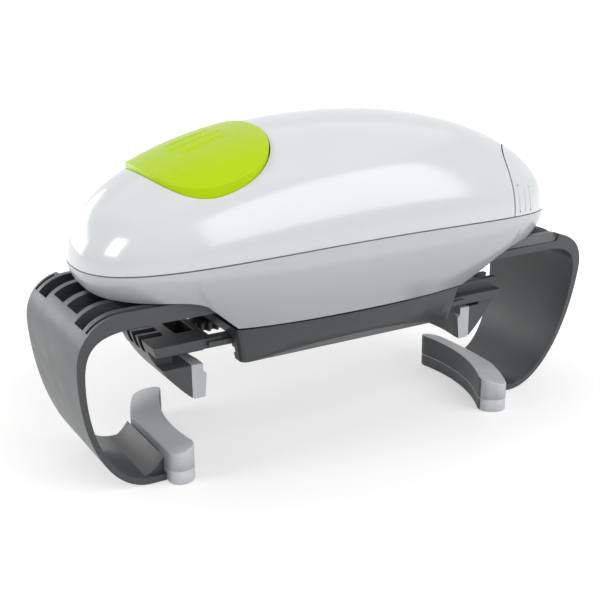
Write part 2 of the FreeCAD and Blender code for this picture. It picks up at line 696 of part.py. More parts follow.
def make_top_shell():
    shell = dome().cut(hollow(-size("shell_wall")))
    foot = DECK_BOTTOM + size("boss_height")
    for spot in housing_screw_spots(-1):
        base = spot + Vector(0, 0, foot)
        upper = Part.makeCylinder(size("boss_radius"), SEAM, base).common(dome(-size("shell_wall") / 2))
        lower = Part.makeCylinder(size("boss_radius"), SEAM - foot, base)
        shell = shell.fuse(upper.fuse(lower))
    shell = shell.cut(cover_region()).cut(button_column(size("button_gap")))
    return feature("top_shell", shell)


def make_bottom_shell():
    wall = size("shell_wall")
    half = size("seam_half_width")
    peg = size("peg_half")
    shell = bowl().cut(bowl(wall, 2.0))
    inside = bowl(wall / 2)
    for side in (-1, 1):
        low, high = sorted((side * size("skirt_corner"), side * size("seam_half_length")))
        floor = box_between((low, -half, TUNNEL_BOTTOM), (high, half, DECK_BOTTOM))
        shell = shell.fuse(floor.common(inside))
        for spot in housing_screw_spots(side):
            base = spot + Vector(0, 0, END_FLOOR)
            height = DECK_BOTTOM + size("boss_height") - END_FLOOR
            shell = shell.fuse(Part.makeCylinder(size("boss_radius"), height, base))
        for across in (-1, 1):
            x, y = side * size("peg_along"), across * size("peg_across")
            shell = shell.fuse(box_between((x - peg, y - peg, END_FLOOR),
                                           (x + peg, y + peg, DECK_TOP + size("peg_end"))))
        shell = shell.cut(scoop(side))
        for spot in housing_screw_spots(side):
            recess = Part.makeCylinder(size("screw_head_radius") + size("seat_gap"), size("screw_head"),
                                       spot + Vector(0, 0, END_FLOOR))
            shell = shell.cut(recess)
    return feature("bottom_shell", shell.cut(arm_tunnel()).cut(over_seam()))


def make_battery_cover():
    cover = dome().cut(hollow(-size("shell_wall")))
    cover = cover.common(cover_region(size("slip")))
    # a tongue at the crest that tucks under the top shell
    edge = size("cover_side") + size("cover_bulge")
    half = size("latch_half_width")
    end = edge + size("latch_reach")
    tongue = box_between((edge - size("latch_reach"), -half, SEAM), (end, half, ABOVE))
    layer = dome(-size("shell_wall") - size("seat_gap")).cut(dome(-2 * size("shell_wall")))
    cover = cover.fuse(tongue.common(layer))
    root = box_between((edge + size("latch_root"), -half, SEAM), (end, half, ABOVE))
    joint = dome(-size("shell_wall") / 2).cut(dome(-2 * size("shell_wall")))
    cover = cover.fuse(root.common(joint))
    return feature("battery_cover", cover)


def make_start_button():
    """Cap with a rounded rim, and under it a collar on the spring and a plunger over the switch."""
    flare = size("button_flare")
    crown = size("button_crown")
    wall = size("button_wall")
    cap = button_column().common(dome(flare, crown))
    rim = [edge for edge in cap.Edges if edge.BoundBox.ZMin > SEAM and edge.BoundBox.YLength > 1]
    cap = cap.makeFillet(size("button_rim"), rim)
    cap = cap.cut(hollow(-size("button_sink")))
    cap = cap.cut(button_column(-wall).common(dome(flare, crown - wall)))
    crest = SEAM + size("dome_rise")
    centre = Vector(-size("button_centre"), 0, 0)
    tip = BOARD_TOP + size("switch_height") + size("switch_key_height") + size("button_travel")
    tip += size("seat_gap")
    plunger = Part.makeCylinder(size("plunger_radius"), crest - tip, centre + Vector(0, 0, tip))
    collar = Part.makeCylinder(size("collar_radius"), crest,
                               centre + Vector(0, 0, BOARD_TOP + size("spring_length")))
    post = plunger.fuse(collar).common(dome(flare, crown - wall / 2))
    return feature("start_button", cap.fuse(post))


# ---------------------------------------------------------------- chassis

def make_chassis():
    inside = bowl(size("shell_wall") + size("seat_gap"), 2.0)
    floor = box_between((-size("skirt_corner"), -size("seam_half_width"), CHASSIS_BOTTOM),
                        (size("skirt_corner"), size("seam_half_width"), CHASSIS_TOP))
    chassis = floor
    inset = size("chassis_end_inset")
    ceiling = TUNNEL_BOTTOM - size("slip")
    for side in (-1, 1):
        end = scoop(side, inset + size("chassis_end_wall")).cut(scoop(side, inset))
        band = box_between((-BEYOND, -BESIDE, CHASSIS_BOTTOM), (BEYOND, BESIDE, ceiling))
        chassis = chassis.cut(scoop(side, inset)).fuse(end.common(band))
    chassis = chassis.common(inside)
    boss = Part.makeCylinder(size("bearing_radius"), ceiling - CHASSIS_TOP, Vector(0, 0, CHASSIS_TOP))
    bore = Part.makeCylinder(size("spindle_radius") + size("running"), ceiling, Vector())
    chassis = chassis.fuse(boss).cut(bore)
    return feature("chassis", chassis)


# ---------------------------------------------------------------- gears and racks

PRESSURE = math.radians(20)
TOOTH_TIP = 0.9           # height of a tooth over the pitch line, in modules
TOOTH_ROOT = 1.2          # depth of a tooth under the pitch line, in modules


def involute(angle):
    return math.tan(angle) - angle


def gear(module, teeth, phase, height, base, bore=0.0):
    """Spur gear with a tooth centred on the direction phase, in radians."""
    teeth = int(teeth)
    pitch_radius = module * teeth / 2
    base_radius = pitch_radius * math.cos(PRESSURE)
    root = pitch_radius - TOOTH_ROOT * module
    tip = pitch_radius + TOOTH_TIP * module
    half_tooth = math.pi / (2 * teeth) - size("mesh_play") / (2 * pitch_radius)
    half_tooth += involute(PRESSURE)
    flank = []
    for radius in (root, pitch_radius, tip):
        lean = math.acos(min(1, base_radius / radius))
        flank.append((radius, half_tooth - involute(lean)))
    corners = []
    for number in range(teeth):
        middle = phase + 2 * math.pi * number / teeth
        corners += [(radius, middle - half) for radius, half in flank]
        corners += [(radius, middle + half) for radius, half in flank[::-1]]
    outline = [Vector(r * math.cos(a), r * math.sin(a), base) for r, a in corners]
    solid = prism(outline, Vector(0, 0, height))
    if bore:
        solid = solid.cut(Part.makeCylinder(bore, height + 2, Vector(0, 0, base - 1)))
    return solid


def rack(pitch_line, back, start, end, base, height, shift=0.0):
    """Bar along X whose teeth face the middle; a tooth gap lies at x = shift."""
    module = size("drive_module")
    pitch = math.pi * module
    tip = pitch_line - TOOTH_TIP * module
    root = pitch_line + TOOTH_ROOT * module
    half = pitch / 4 - size("mesh_play") / 2
    lean = math.tan(PRESSURE)
    corners = [Vector(start, back, base), Vector(start, root, base)]
    first = math.ceil((start + pitch / 2 - shift) / pitch - 0.5)
    last = math.floor((end - pitch / 2 - shift) / pitch - 0.5)
    for number in range(first, last + 1):
        middle = shift + (number + 0.5) * pitch
        wide = half + (root - pitch_line) * lean
        slim = half - (pitch_line - tip) * lean
        corners += [Vector(middle - wide, root, base), Vector(middle - slim, tip, base),
                    Vector(middle + slim, tip, base), Vector(middle + wide, root, base)]
    corners += [Vector(end, root, base), Vector(end, back, base)]
    return prism(corners, Vector(0, 0, height))


def odd_shift(teeth):
    """An odd pinion shows a gap where an even one shows a tooth, opposite the first rack."""
    return math.pi * size("drive_module") * (teeth / 2 % 1)


def mesh_phase(direction, first_teeth, first_phase, second_teeth):
    """Phase of a second gear, in the direction given, that meshes with the first."""
    step = 2 * math.pi / first_teeth
    share = (direction - first_phase) / step
    return direction + math.pi - 2 * math.pi / second_teeth * (0.5 - share)


# ---------------------------------------------------------------- arms

BEND_FULLNESS = 0.60      # roundness of the bend under the housing
INNER_BEND_FULLNESS = 0.75
SIDE_FULLNESS = 0.50      # how long the band stays upright below its widest point
HEEL_FULLNESS = 0.62      # how long it runs along the floor
RAMP_FULLNESS = 0.4       # how evenly the ramp behind a pad rises


def band_edges(reach, widest, plate_level, bend, floor_level, heel, bend_fullness):
    """Side view of one face of the band, from the plate over the bend down to the foot."""
    top = Vector(bend, 0, plate_level)
    side = Vector(reach, 0, widest)
    foot = Vector(heel, 0, floor_level)
    upper = bezier([top, top + Vector(bend_fullness * (reach - bend), 0, 0),
                    side + Vector(0, 0, bend_fullness * (plate_level - widest)), side])
    lower = bezier([side, side - Vector(0, 0, SIDE_FULLNESS * (widest - floor_level)),
                    foot + Vector(HEEL_FULLNESS * (reach - heel), 0, 0), foot])
    return upper, lower


def arm_pitch_line():
    return size("drive_module") * size("arm_pinion_teeth") / 2


def make_arm():
    """The arm at the battery end; the other is the same turned by half a turn."""
    top = size("arm_top")
    plate_bottom = top - size("arm_plate")
    start = size("arm_start")
    tip = size("foot_tip")
    upper, lower = band_edges(size("arm_reach"), size("arm_widest_height"), top,
                              size("arm_bend"), 0.0, size("foot_heel"), BEND_FULLNESS)
    inner_upper, inner_lower = band_edges(
        size("arm_reach") - size("arm_wall"), size("arm_widest_height") - size("bend_lead"),
        plate_bottom, size("arm_bend") - size("bend_lead"), size("foot_wall"), size("foot_heel"),
        INNER_BEND_FULLNESS)
    heel = size("foot_heel")
    edges = [upper, lower, inner_upper, inner_lower,
             line(Vector(start, 0, top), Vector(size("arm_bend"), 0, top)),
             line(Vector(heel, 0, 0), Vector(tip, 0, 0)),
             line(Vector(tip, 0, 0), Vector(tip, 0, size("foot_wall"))),
             line(Vector(tip, 0, size("foot_wall")), Vector(heel, 0, size("foot_wall"))),
             line(Vector(start, 0, plate_bottom),
                  Vector(size("arm_bend") - size("bend_lead"), 0, plate_bottom)),
             line(Vector(start, 0, plate_bottom), Vector(start, 0, top))]
    face = Part.Face(Part.Wire(Part.__sortEdges__(edges)))
    half = size("arm_half_width")
    face.translate(Vector(0, -half, 0))
    band = face.extrude(Vector(0, 2 * half, 0))
    foot = size("foot_half_width")
    front_view = [Vector(0, -foot, -1), Vector(0, foot, -1), Vector(0, half, plate_bottom),
                  Vector(0, half, top + 1), Vector(0, -half, top + 1), Vector(0, -half, plate_bottom)]
    arm = band.common(prism(front_view, Vector(BEYOND, 0, 0)))
    arm = arm.cut(channels())
    tongue = box_between((tip - size("tongue_wall"), -size("tongue_half_width"), size("slip")),
                         (tip, size("tongue_half_width"), size("tongue_height")))
    arm = arm.fuse(tongue).fuse(foot_ramp())
    root_end = start + size("rack_root")
    bar = rack(arm_pitch_line(), size("rack_back"), -root_end, size("rack_overrun"),
               rack_bottom(), top - size("slip") - rack_bottom(), odd_shift(size("arm_pinion_teeth")))
    root = box_between((start, -size("rack_back"), plate_bottom + size("arm_skin") / 2),
                       (root_end, -arm_pitch_line() - TOOTH_ROOT * size("drive_module"),
                        top - size("slip")))
    return arm.fuse(turned(bar, 180)).fuse(root)


def foot_ramp():
    """Hollow ramp on the foot that rises to the back of the pad."""
    tip = size("foot_tip")
    floor = size("foot_wall")
    run = size("ramp_length")
    crest = Vector(tip, 0, size("tongue_height"))
    end = Vector(tip + run, 0, floor)
    root = Vector(tip, 0, floor / 2)
    far_root = Vector(tip + run, 0, floor / 2)
    slope = bezier([crest, crest + Vector(RAMP_FULLNESS * run, 0, floor - crest.z),
                    end - Vector(RAMP_FULLNESS * run, 0, 0), end])
    edges = [slope, line(end, far_root), line(far_root, root), line(root, crest)]
    return side_prism(edges, size("ramp_half_width"))


def rack_bottom():
    return size("arm_top") - size("arm_plate") + size("arm_skin") + size("slip")


def channels():
    """Five open channels between the ribs of a plate."""
    floor = size("arm_top") - size("arm_plate") + size("arm_skin")
    half = (size("rib_pitch") - size("rib_wall")) / 2
    cells = []
    for number in range(-2, 3):
        middle = number * size("rib_pitch")
        cells.append(box_between((size("arm_start") - 1, middle - half, floor),
                                 (size("channel_end"), middle + half, size("arm_top") + 1)))
    return Part.makeCompound(cells)


def make_foot_pad():
    """The pad at the battery end: a curved block with its jar face towards the middle."""
    radius = size("pad_radius")
    outer = radius + size("pad_wall")
    height = size("pad_height")
    centre = Vector(size("pad_depth") - radius, size("pad_shift"), 0)
    first, last = -size("pad_long_turn"), size("pad_short_turn")
    inside = Part.makeCylinder(radius, height, centre)
    block = Part.makeCylinder(outer, height, centre, Vector(0, 0, 1), last - first).cut(inside)
    block.rotate(centre, Vector(0, 0, 1), first)
    block = block.common(box_between((0, -BESIDE, 0), (size("foot_tip"), BESIDE, height)))
    ends = []
    for edge in block.Edges:
        spot = edge.CenterOfMass - centre
        turn = math.degrees(math.atan2(spot.y, spot.x))
        if is_upright(edge) and min(abs(turn - first), abs(turn - last)) < 0.1:
            ends.append(edge)
    block = block.makeFillet(size("pad_end_radius"), ends)
    # the top falls evenly from the jar face to the back
    drop = size("pad_fall")
    cone = Part.makeCone(outer, radius, drop, centre + Vector(0, 0, height - drop))
    low = Part.makeCylinder(outer, height - drop, centre)
    block = block.common(low.fuse(cone))
    gap = size("seat_gap")
    seat = box_between((size("foot_tip") - size("tongue_wall") - gap,
                        -size("tongue_half_width") - gap, -gap),
                       (size("foot_tip") + gap, size("tongue_half_width") + gap,
                        size("tongue_height") + gap))
    return block.cut(seat)


def is_upright(edge):
    box = edge.BoundBox
    return box.ZLength > 1 and box.XLength < 0.01 and box.YLength < 0.01


# ---------------------------------------------------------------- carriage

UPPER_LEG = size("jaw_level") + size("leg_gap")
LOWER_LEG_TOP = size("jaw_level") - size("leg_gap")
LOWER_LEG = size("carriage_bottom") + size("bottom_plate") + size("slip")
UPPER_LEG_TOP = size("track_roof") - size("slip")
HUB_PINS = (90, 210, 330)


def carriage_wire(draw_in, height):
    length = size("carriage_half_length") - draw_in
    width = size("carriage_half_width") - draw_in
    bow = width + size("carriage_bow")
    back = Part.Arc(Vector(-length, width, height), Vector(0, bow, height),
                    Vector(length, width, height)).toShape()
    front = Part.Arc(Vector(length, -width, height), Vector(0, -bow, height),
                     Vector(-length, -width, height)).toShape()
    right = line(Vector(length, width, height), Vector(length, -width, height))
    left = line(Vector(-length, -width, height), Vector(-length, width, height))
    return Part.Wire([back, right, front, left])


def leg_heights():
    """Lower and upper level of the two kinds of leg."""
    return ((LOWER_LEG, LOWER_LEG_TOP), (UPPER_LEG, UPPER_LEG_TOP))


def make_carriage_housing():
    low = size("carriage_bottom")
    top = size("carriage_top")
    body = Part.makeLoft([carriage_wire(size("carriage_draft"), low), carriage_wire(0.0, top)], True)
    corners = [edge for edge in body.Edges
               if edge.BoundBox.ZLength > 5 and abs(edge.CenterOfMass.y) > size("track_half_width")]
    body = body.makeFillet(size("carriage_corner"), corners)
    line_y = size("carriage_chamfer_line")
    far = size("carriage_half_length") + 5
    out = line_y + size("carriage_chamfer_spread")
    for side in (-1, 1):
        wedge = [Vector(-far, side * line_y, low), Vector(-far, side * out,
                                                          low + size("carriage_chamfer_rise")),
                 Vector(-far, side * out, low - 5), Vector(-far, side * line_y, low - 5)]
        body = body.cut(prism(wedge, Vector(2 * far, 0, 0)))
    track = size("track_half_width")
    body = body.cut(box_between((-far, -track, low - 1), (far, track, size("track_roof"))))
    groove = track + size("groove_depth")
    for bottom, ceiling in leg_heights():
        middle = (bottom + ceiling) / 2
        half = size("groove_height") / 2
        body = body.cut(box_between((-far, -groove, middle - half), (far, groove, middle + half)))
    gap = size("seat_gap")
    end = size("bottom_strip_end") + gap
    edge = size("bottom_strip_edge") + gap
    body = body.cut(box_between((-end, -edge, low - 1), (end, edge, low + size("bottom_plate"))))
    for turn in HUB_PINS:
        pin = Vector(size("hub_pin_circle") * math.cos(math.radians(turn)),
                     size("hub_pin_circle") * math.sin(math.radians(turn)), low)
        body = body.cut(Part.makeCylinder(size("hub_pin_radius") + gap, top, pin))
    return feature("carriage_housing", body)


def make_carriage_cover():
    """H-shaped bottom plate with the axle of the jaw pinion."""
    body = new_body("carriage_cover")
    plate = new_sketch(body, offset="carriage_bottom")
    bridge, ledge = "bottom_bridge", "bottom_ledge"
    end, edge = "bottom_strip_end", "bottom_strip_edge"
    corners = [("-" + end, "-" + edge), (end, "-" + edge), (end, "-" + ledge), (bridge, "-" + ledge),
               (bridge, ledge), (end, ledge), (end, edge), ("-" + end, edge), ("-" + end, ledge),
               ("-" + bridge, ledge), ("-" + bridge, "-" + ledge), ("-" + end, "-" + ledge)]
    draw_polygon(plate, corners)
    pad(body, plate, "bottom_plate")
    axle = new_sketch(body, offset="carriage_bottom")
    draw_circle(axle, "0", "0", "jaw_axle_radius")
    pad(body, axle, "track_roof - slip - carriage_bottom")
    return body


# ---------------------------------------------------------------- jaws

def jaw_pitch_line():
    return size("drive_module") * size("jaw_pinion_teeth") / 2


def jaw_outer_curve():
    """Side view of a jaw's rounded back, from the top down to the claw's tip."""
    top = Vector(size("jaw_reach"), 0, UPPER_LEG_TOP)
    tip = Vector(size("jaw_tip"), 0, size("jaw_tip_height"))
    fall = top.z - tip.z
    run = top.x - tip.x
    return bezier([top, top - Vector(0.09 * run, 0, 0.34 * fall),
                   tip + Vector(0.50 * run, 0, 0.28 * fall), tip])


def jaw_back(inner, low, high):
    """Solid between an inner upright plane and the rounded back, cut between two levels."""
    curve = jaw_outer_curve()
    top = Vector(size("jaw_reach"), 0, UPPER_LEG_TOP)
    tip = Vector(size("jaw_tip"), 0, size("jaw_tip_height"))
    corner = Vector(0, 0, UPPER_LEG_TOP)
    foot = Vector(0, 0, tip.z)
    whole = side_prism([curve, line(top, corner), line(corner, foot), line(foot, tip)],
                       size("track_half_width") - size("slip"))
    span = box_between((inner, -BESIDE, low), (BEYOND, BESIDE, high))
    return whole.common(span)


def make_jaw():
    """The jaw at the battery end; the other is the same turned by half a turn."""
    track = size("track_half_width") - size("slip")
    start = size("jaw_start")
    wall = size("jaw_wall_start")
    back_line = jaw_pitch_line() + TOOTH_ROOT * size("drive_module")
    tip_line = jaw_pitch_line() - TOOTH_TIP * size("drive_module")
    guide_inner = track - size("leg_wall")
    claw_half = size("jaw_half_width")
    pad_back = size("jaw_pad_face") + size("jaw_pad_wall")
    passage = size("slip")

    lower = jaw_back(start, LOWER_LEG, LOWER_LEG_TOP)
    lower = lower.cut(box_between((0, tip_line - passage, 0), (BEYOND, BESIDE, ABOVE)))
    upper = jaw_back(start, LOWER_LEG_TOP - 1, UPPER_LEG_TOP)
    upper = upper.cut(box_between((0, -BESIDE, 0), (BEYOND, passage - guide_inner, ABOVE)))
    upper = upper.cut(box_between((0, tip_line - passage, 0), (BEYOND, BESIDE, UPPER_LEG)))
    stem = jaw_back(wall, size("jaw_pad_top") - 1, LOWER_LEG + 1)
    stem = stem.common(box_between((0, -claw_half, 0), (BEYOND, tip_line - passage, ABOVE)))
    claw = jaw_back(pad_back, size("jaw_tip_height"), size("jaw_pad_top"))
    claw = claw.common(box_between((0, -claw_half, 0), (BEYOND, claw_half, ABOVE)))
    jaw = lower.fuse(upper).fuse(stem).fuse(claw)

    rim = size("jaw_tray_rim")
    jaw = jaw.cut(box_between((start + rim, rim - guide_inner, LOWER_LEG + size("jaw_tray_floor")),
                              (wall - rim, tip_line - rim, ABOVE)))
    for number in (-1, 0, 1):
        middle = (tip_line - guide_inner) / 2 + number * size("slot_pitch")
        half = size("slot_width") / 2
        jaw = jaw.cut(box_between((wall + size("slot_skin"), middle - half,
                                   LOWER_LEG + size("slot_floor")), (BEYOND, middle + half, ABOVE)))

    tongue_half = size("groove_height") / 2 - size("slip")
    runner = track + size("groove_depth")
    middle = (UPPER_LEG + UPPER_LEG_TOP) / 2
    guide = box_between((size("guide_leg_tip"), guide_inner, UPPER_LEG), (wall, track, UPPER_LEG_TOP))
    guide = guide.fuse(box_between((size("guide_leg_tip"), guide_inner, middle - tongue_half),
                                   (start + rim, runner, middle + tongue_half)))
    middle = (LOWER_LEG + LOWER_LEG_TOP) / 2
    bar = rack(jaw_pitch_line(), track, -start - rim, size("jaw_rack_overrun"), LOWER_LEG,
               LOWER_LEG_TOP - LOWER_LEG, odd_shift(size("jaw_pinion_teeth")))
    bar = bar.fuse(box_between((-start - rim, back_line, middle - tongue_half),
                               (size("jaw_rack_overrun"), runner, middle + tongue_half)))
    return jaw.fuse(guide).fuse(turned(bar, 180))


def make_jaw_pad():
    """Soft pad on the lid side of a claw, hollowed to fit round lids."""
    face = size("jaw_pad_face")
    back = face + size("jaw_pad_wall")
    top = size("jaw_pad_top")
    tip = size("jaw_tip_height") + size("seat_gap")
    half = size("jaw_half_width")
    edge, lip, step = size("jaw_pad_chamfer"), size("jaw_pad_lip"), size("jaw_pad_step")
    profile = [(face + step, top), (back, top), (back, tip + edge), (back - edge, tip),
               (face + edge, tip), (face, top - lip - step), (face + step, top - lip)]
    solid = prism([Vector(x, -half, z) for x, z in profile], Vector(0, 2 * half, 0))
    sag = size("lid_radius") - math.sqrt(size("lid_radius") ** 2 - half ** 2)
    lid = Part.makeCylinder(size("lid_radius"), 40, Vector(face + sag - size("lid_radius"), 0, 10))
    return solid.cut(lid)


# ---------------------------------------------------------------- drive

def make_spindle():
    body = new_body("carriage_spindle")
    profile = new_sketch(body, "XZ_Plane")
    flange_top = "carriage_top + flange_wall"
    shoulder = "%s + gear_gap" % DECK_TOP_X
    draw_polygon(profile, [("0", "carriage_top"), ("flange_radius", "carriage_top"),
                           ("flange_radius", flange_top), ("spindle_radius", flange_top),
                           ("spindle_radius", shoulder), ("0", shoulder)])
    revolution(body, profile)
    square = new_sketch(body, offset=shoulder)
    draw_rectangle(square, "-square_drive / 2", "-square_drive / 2", "square_drive / 2",
                   "square_drive / 2")
    pad(body, square, "turntable_wall")
    bore = new_sketch(body, offset=TURNTABLE_TOP_X)
    draw_circle(bore, "0", "0", "retainer_shank")
    pocket(body, bore, "retainer_depth")
    pins = new_sketch(body, offset="carriage_top")
    for turn in HUB_PINS:
        draw_circle(pins, "hub_pin_circle * cos(%d deg)" % turn, "hub_pin_circle * sin(%d deg)" % turn,
                    "hub_pin_radius")
    pad(body, pins, "carriage_top - track_roof", downwards=True)
    return body


def make_retainer():
    head = cylinder("retainer_radius", "screw_head", "0", "0", TURNTABLE_TOP_X)
    shank = cylinder("retainer_shank", "retainer_depth", "0", "0", TURNTABLE_TOP_X + " - retainer_depth")
    return joined("spindle_screw", [head, shank])


def make_turntable_gear():
    disc = gear(size("train_module"), size("turntable_teeth"), 0.0, size("turntable_wall"),
                TURNTABLE_BOTTOM)
    half = size("square_drive") / 2 + size("seat_gap")
    square = box_between((-half, -half, TURNTABLE_BOTTOM - 1), (half, half, TURNTABLE_TOP + 1))
    return feature("turntable_gear", disc.cut(square))


def stepped_gear(place, pinion_phase, pinion_base, pinion_height, wheel_base):
    """Pinion and wheel in one piece; the wheel has a tooth towards +X."""
    bore = size("gear_axle_radius") + size("running")
    module = size("train_module")
    pinion = gear(module, size("step_teeth"), pinion_phase, pinion_height, pinion_base, bore)
    wheel = gear(module, size("wheel_teeth"), 0.0, size("wheel_wall"), wheel_base, bore)
    whole = pinion.fuse(wheel)
    whole.translate(place)
    return whole


def make_gear_train():
    first, second, third = (math.radians(size(name))
                            for name in ("first_angle", "second_angle", "third_angle"))
    phase_b = mesh_phase(first, size("turntable_teeth"), 0.0, size("step_teeth"))
    gear_b = stepped_gear(GEAR_B, phase_b, TURNTABLE_BOTTOM, SECOND_BOTTOM - TURNTABLE_BOTTOM,
                          SECOND_BOTTOM)
    phase_a = mesh_phase(second, size("wheel_teeth"), 0.0, size("step_teeth"))
    gear_a = stepped_gear(GEAR_A, phase_a, SECOND_BOTTOM, THIRD_BOTTOM - SECOND_BOTTOM, THIRD_BOTTOM)
    phase_m = mesh_phase(third, size("wheel_teeth"), 0.0, size("motor_teeth"))
    pinion = gear(size("train_module"), size("motor_teeth"), phase_m, THIRD_TOP - THIRD_BOTTOM,
                  THIRD_BOTTOM)
    shaft = Part.makeCylinder(size("motor_shaft_radius"), PLATE_TOP + size("shaft_reach") - THIRD_BOTTOM,
                              Vector(0, 0, THIRD_BOTTOM))
    pinion = pinion.fuse(shaft)
    pinion.translate(MOTOR)
    return [feature("reduction_gear_b", gear_b), feature("reduction_gear_a", gear_a),
            feature("motor_pinion", pinion)]


def make_rack_pinions():
    module = size("drive_module")
    base = TUNNEL_BOTTOM
    arm_pinion = gear(module, size("arm_pinion_teeth"), math.pi / 2,
                      size("arm_top") - size("slip") - base, base,
                      size("spindle_radius") + size("running"))
    base = LOWER_LEG
    jaw_pinion = gear(module, size("jaw_pinion_teeth"), math.pi / 2, LOWER_LEG_TOP - base, base,
                      size("jaw_axle_radius") + size("running"))
    return [feature("arm_pinion", arm_pinion), feature("jaw_pinion", jaw_pinion)]


def make_deck():
    body = new_body("gear_deck")
    outline = new_sketch(body, offset=DECK_BOTTOM_X)
    wide, slim = "deck_middle_width", "deck_half_width"
    middle, left, right = "deck_middle", "-deck_end", "deck_end_right"
    draw_polygon(outline, [(left, "-" + slim), ("-" + middle, "-" + slim), ("-" + middle, "-" + wide),
                           (middle, "-" + wide), (middle, "-" + slim), (right, "-" + slim),
                           (right, slim), (middle, slim), (middle, wide), ("-" + middle, wide),
                           ("-" + middle, slim), (left, slim)])
    pad(body, outline, "deck_wall")
    carriers = ((board_corners(), "post_half", "post_peg", BOARD_X, "board_wall"),
                (spacer_spots(), "spacer_half", "spacer_peg", PLATE_BOTTOM_X, "plate_wall"))
    for spots, half, peg, top, held in carriers:
        posts = new_sketch(body, offset=DECK_TOP_X)
        pegs = new_sketch(body, offset=top)
        for x, y in spots:
            draw_square(posts, x, y, half)
            draw_square(pegs, x, y, peg)
        pad(body, posts, "%s - %s" % (top, DECK_TOP_X))
        pad(body, pegs, held + " + peg_end")
    holes = new_sketch(body, offset=DECK_TOP_X)
    draw_circle(holes, "0", "0", "spindle_radius + running")
    for x in ("-peg_along", "peg_along"):
        for y in ("-peg_across", "peg_across"):
            draw_square(holes, x, y, "peg_half + seat_gap")
    for x, y in (GEAR_B_X, GEAR_A_X):
        draw_circle(holes, x, y, "gear_axle_radius + seat_gap")
    pocket(body, holes, "deck_wall + 1")
    return body


def board_corners():
    along = "(board_half_length - post_inset)"
    across = "(board_half_width - post_inset)"
    return [("%s %s - board_centre" % (sign_x, along), "%s %s" % (sign_y, across))
            for sign_x in ("0 -", "0 +") for sign_y in ("0 -", "0 +")]


def spacer_spots():
    return [("-spacer_left", "-spacer_front"), ("-spacer_left", "spacer_back"),
            ("spacer_right", "-spacer_front"), ("spacer_right", "spacer_back")]


def make_gear_plate():
    body = new_body("gear_plate")
    outline = new_sketch(body, offset=PLATE_BOTTOM_X)
    draw_rectangle(outline, "-spacer_left - plate_edge", "-spacer_front - plate_edge",
                   "spacer_right + plate_edge", "spacer_back + plate_edge")
    pad(body, outline, "plate_wall")
    holes = new_sketch(body, offset=PLATE_TOP_X)
    draw_circle(holes, MOTOR_X[0], MOTOR_X[1], "motor_boss_radius + seat_gap")
    for x, y in (GEAR_B_X, GEAR_A_X):
        draw_circle(holes, x, y, "gear_axle_radius + seat_gap")
    for x, y in spacer_spots():
        draw_square(holes, x, y, "spacer_peg + seat_gap")
    pocket(body, holes, "plate_wall + 1")
    return body


def make_axles():
    pins = [cylinder("gear_axle_radius", "%s - %s" % (PLATE_TOP_X, DECK_BOTTOM_X), x, y, DECK_BOTTOM_X)
            for x, y in (GEAR_B_X, GEAR_A_X)]
    return group("gear_axles", pins)


def make_motor():
    can = cylinder("motor_radius", "motor_length", MOTOR_X[0], MOTOR_X[1], PLATE_TOP_X)
    boss = cylinder("motor_boss_radius", "plate_wall", MOTOR_X[0], MOTOR_X[1], PLATE_BOTTOM_X)
    cap = cylinder("motor_cap_radius", "motor_cap", MOTOR_X[0], MOTOR_X[1],
                   "%s + motor_length" % PLATE_TOP_X)
    bore = cylinder("motor_shaft_radius + running", "2 * plate_wall + shaft_reach", MOTOR_X[0],
                    MOTOR_X[1], PLATE_BOTTOM_X)
    return cut("motor", joined("motor_parts", [can, boss, cap]), [bore])


# ---------------------------------------------------------------- batteries, board and switch

ROOM_START_X = "(cell_start - spring_space)"
ROOM_END_X = "(cell_start + cell_length + cell_terminal)"


def make_cells():
    cells = []
    lanes = (("cell_spacing / 2", "cell_start", "cell_start + cell_length"),
             ("-cell_spacing / 2", "%s + cell_terminal" % ROOM_START_X, ROOM_START_X))
    for lane, start, terminal in lanes:
        can = along_x(cylinder("cell_radius", "cell_length", start, lane, CELL_LEVEL_X))
        knob = along_x(cylinder("cell_terminal_radius", "cell_terminal", terminal, lane,
                                CELL_LEVEL_X))
        cells.append(joined("cell", [can, knob]))
    return group("battery_cells", cells)


def make_tray():
    body = new_body("battery_tray")
    left = "%s - contact_wall - tray_wall" % ROOM_START_X
    right = "%s + contact_wall + tray_wall" % ROOM_END_X
    half = "(cell_spacing / 2 + cell_radius + slip + tray_wall)"
    outline = new_sketch(body, offset=DECK_TOP_X)
    draw_rectangle(outline, left, "-" + half, right, half)
    pad(body, outline, "%s - %s" % (TRAY_RIM_X, DECK_TOP_X))
    ears = new_sketch(body, offset="%s + boss_height" % DECK_BOTTOM_X)
    outer = "housing_screw_across + boss_radius"
    for sign in ("", "-"):
        draw_rectangle(ears, "housing_screw_along - boss_radius", "%s(%s - tray_wall)" % (sign, half),
                       right, "%s(%s)" % (sign, outer))
    pad(body, ears, "boss_height")
    room = new_sketch(body, offset=TRAY_RIM_X)
    inner = "(%s - tray_wall)" % half
    draw_rectangle(room, "%s + tray_wall" % left, "-" + inner, "%s - tray_wall" % right, inner)
    pocket(body, room, "%s - %s" % (TRAY_RIM_X, TRAY_FLOOR_X))
    under = new_sketch(body, offset=DECK_TOP_X)
    draw_rectangle(under, "%s + tray_wall" % left, "-" + inner, "%s - tray_wall" % right, inner)
    pocket(body, under, "tray_foot", True)
    return body


def make_contacts():
    plates = []
    for x in ("%s - contact_wall" % ROOM_START_X, ROOM_END_X):
        plates.append(block("contact_wall", "cell_spacing + cell_radius", "cell_radius",
                            x, "-(cell_spacing + cell_radius) / 2",
                            "%s - cell_radius / 2" % CELL_LEVEL_X))
    return group("battery_contacts", plates)


COIL_STEPS = 8            # straight lengths in one turn of a spring


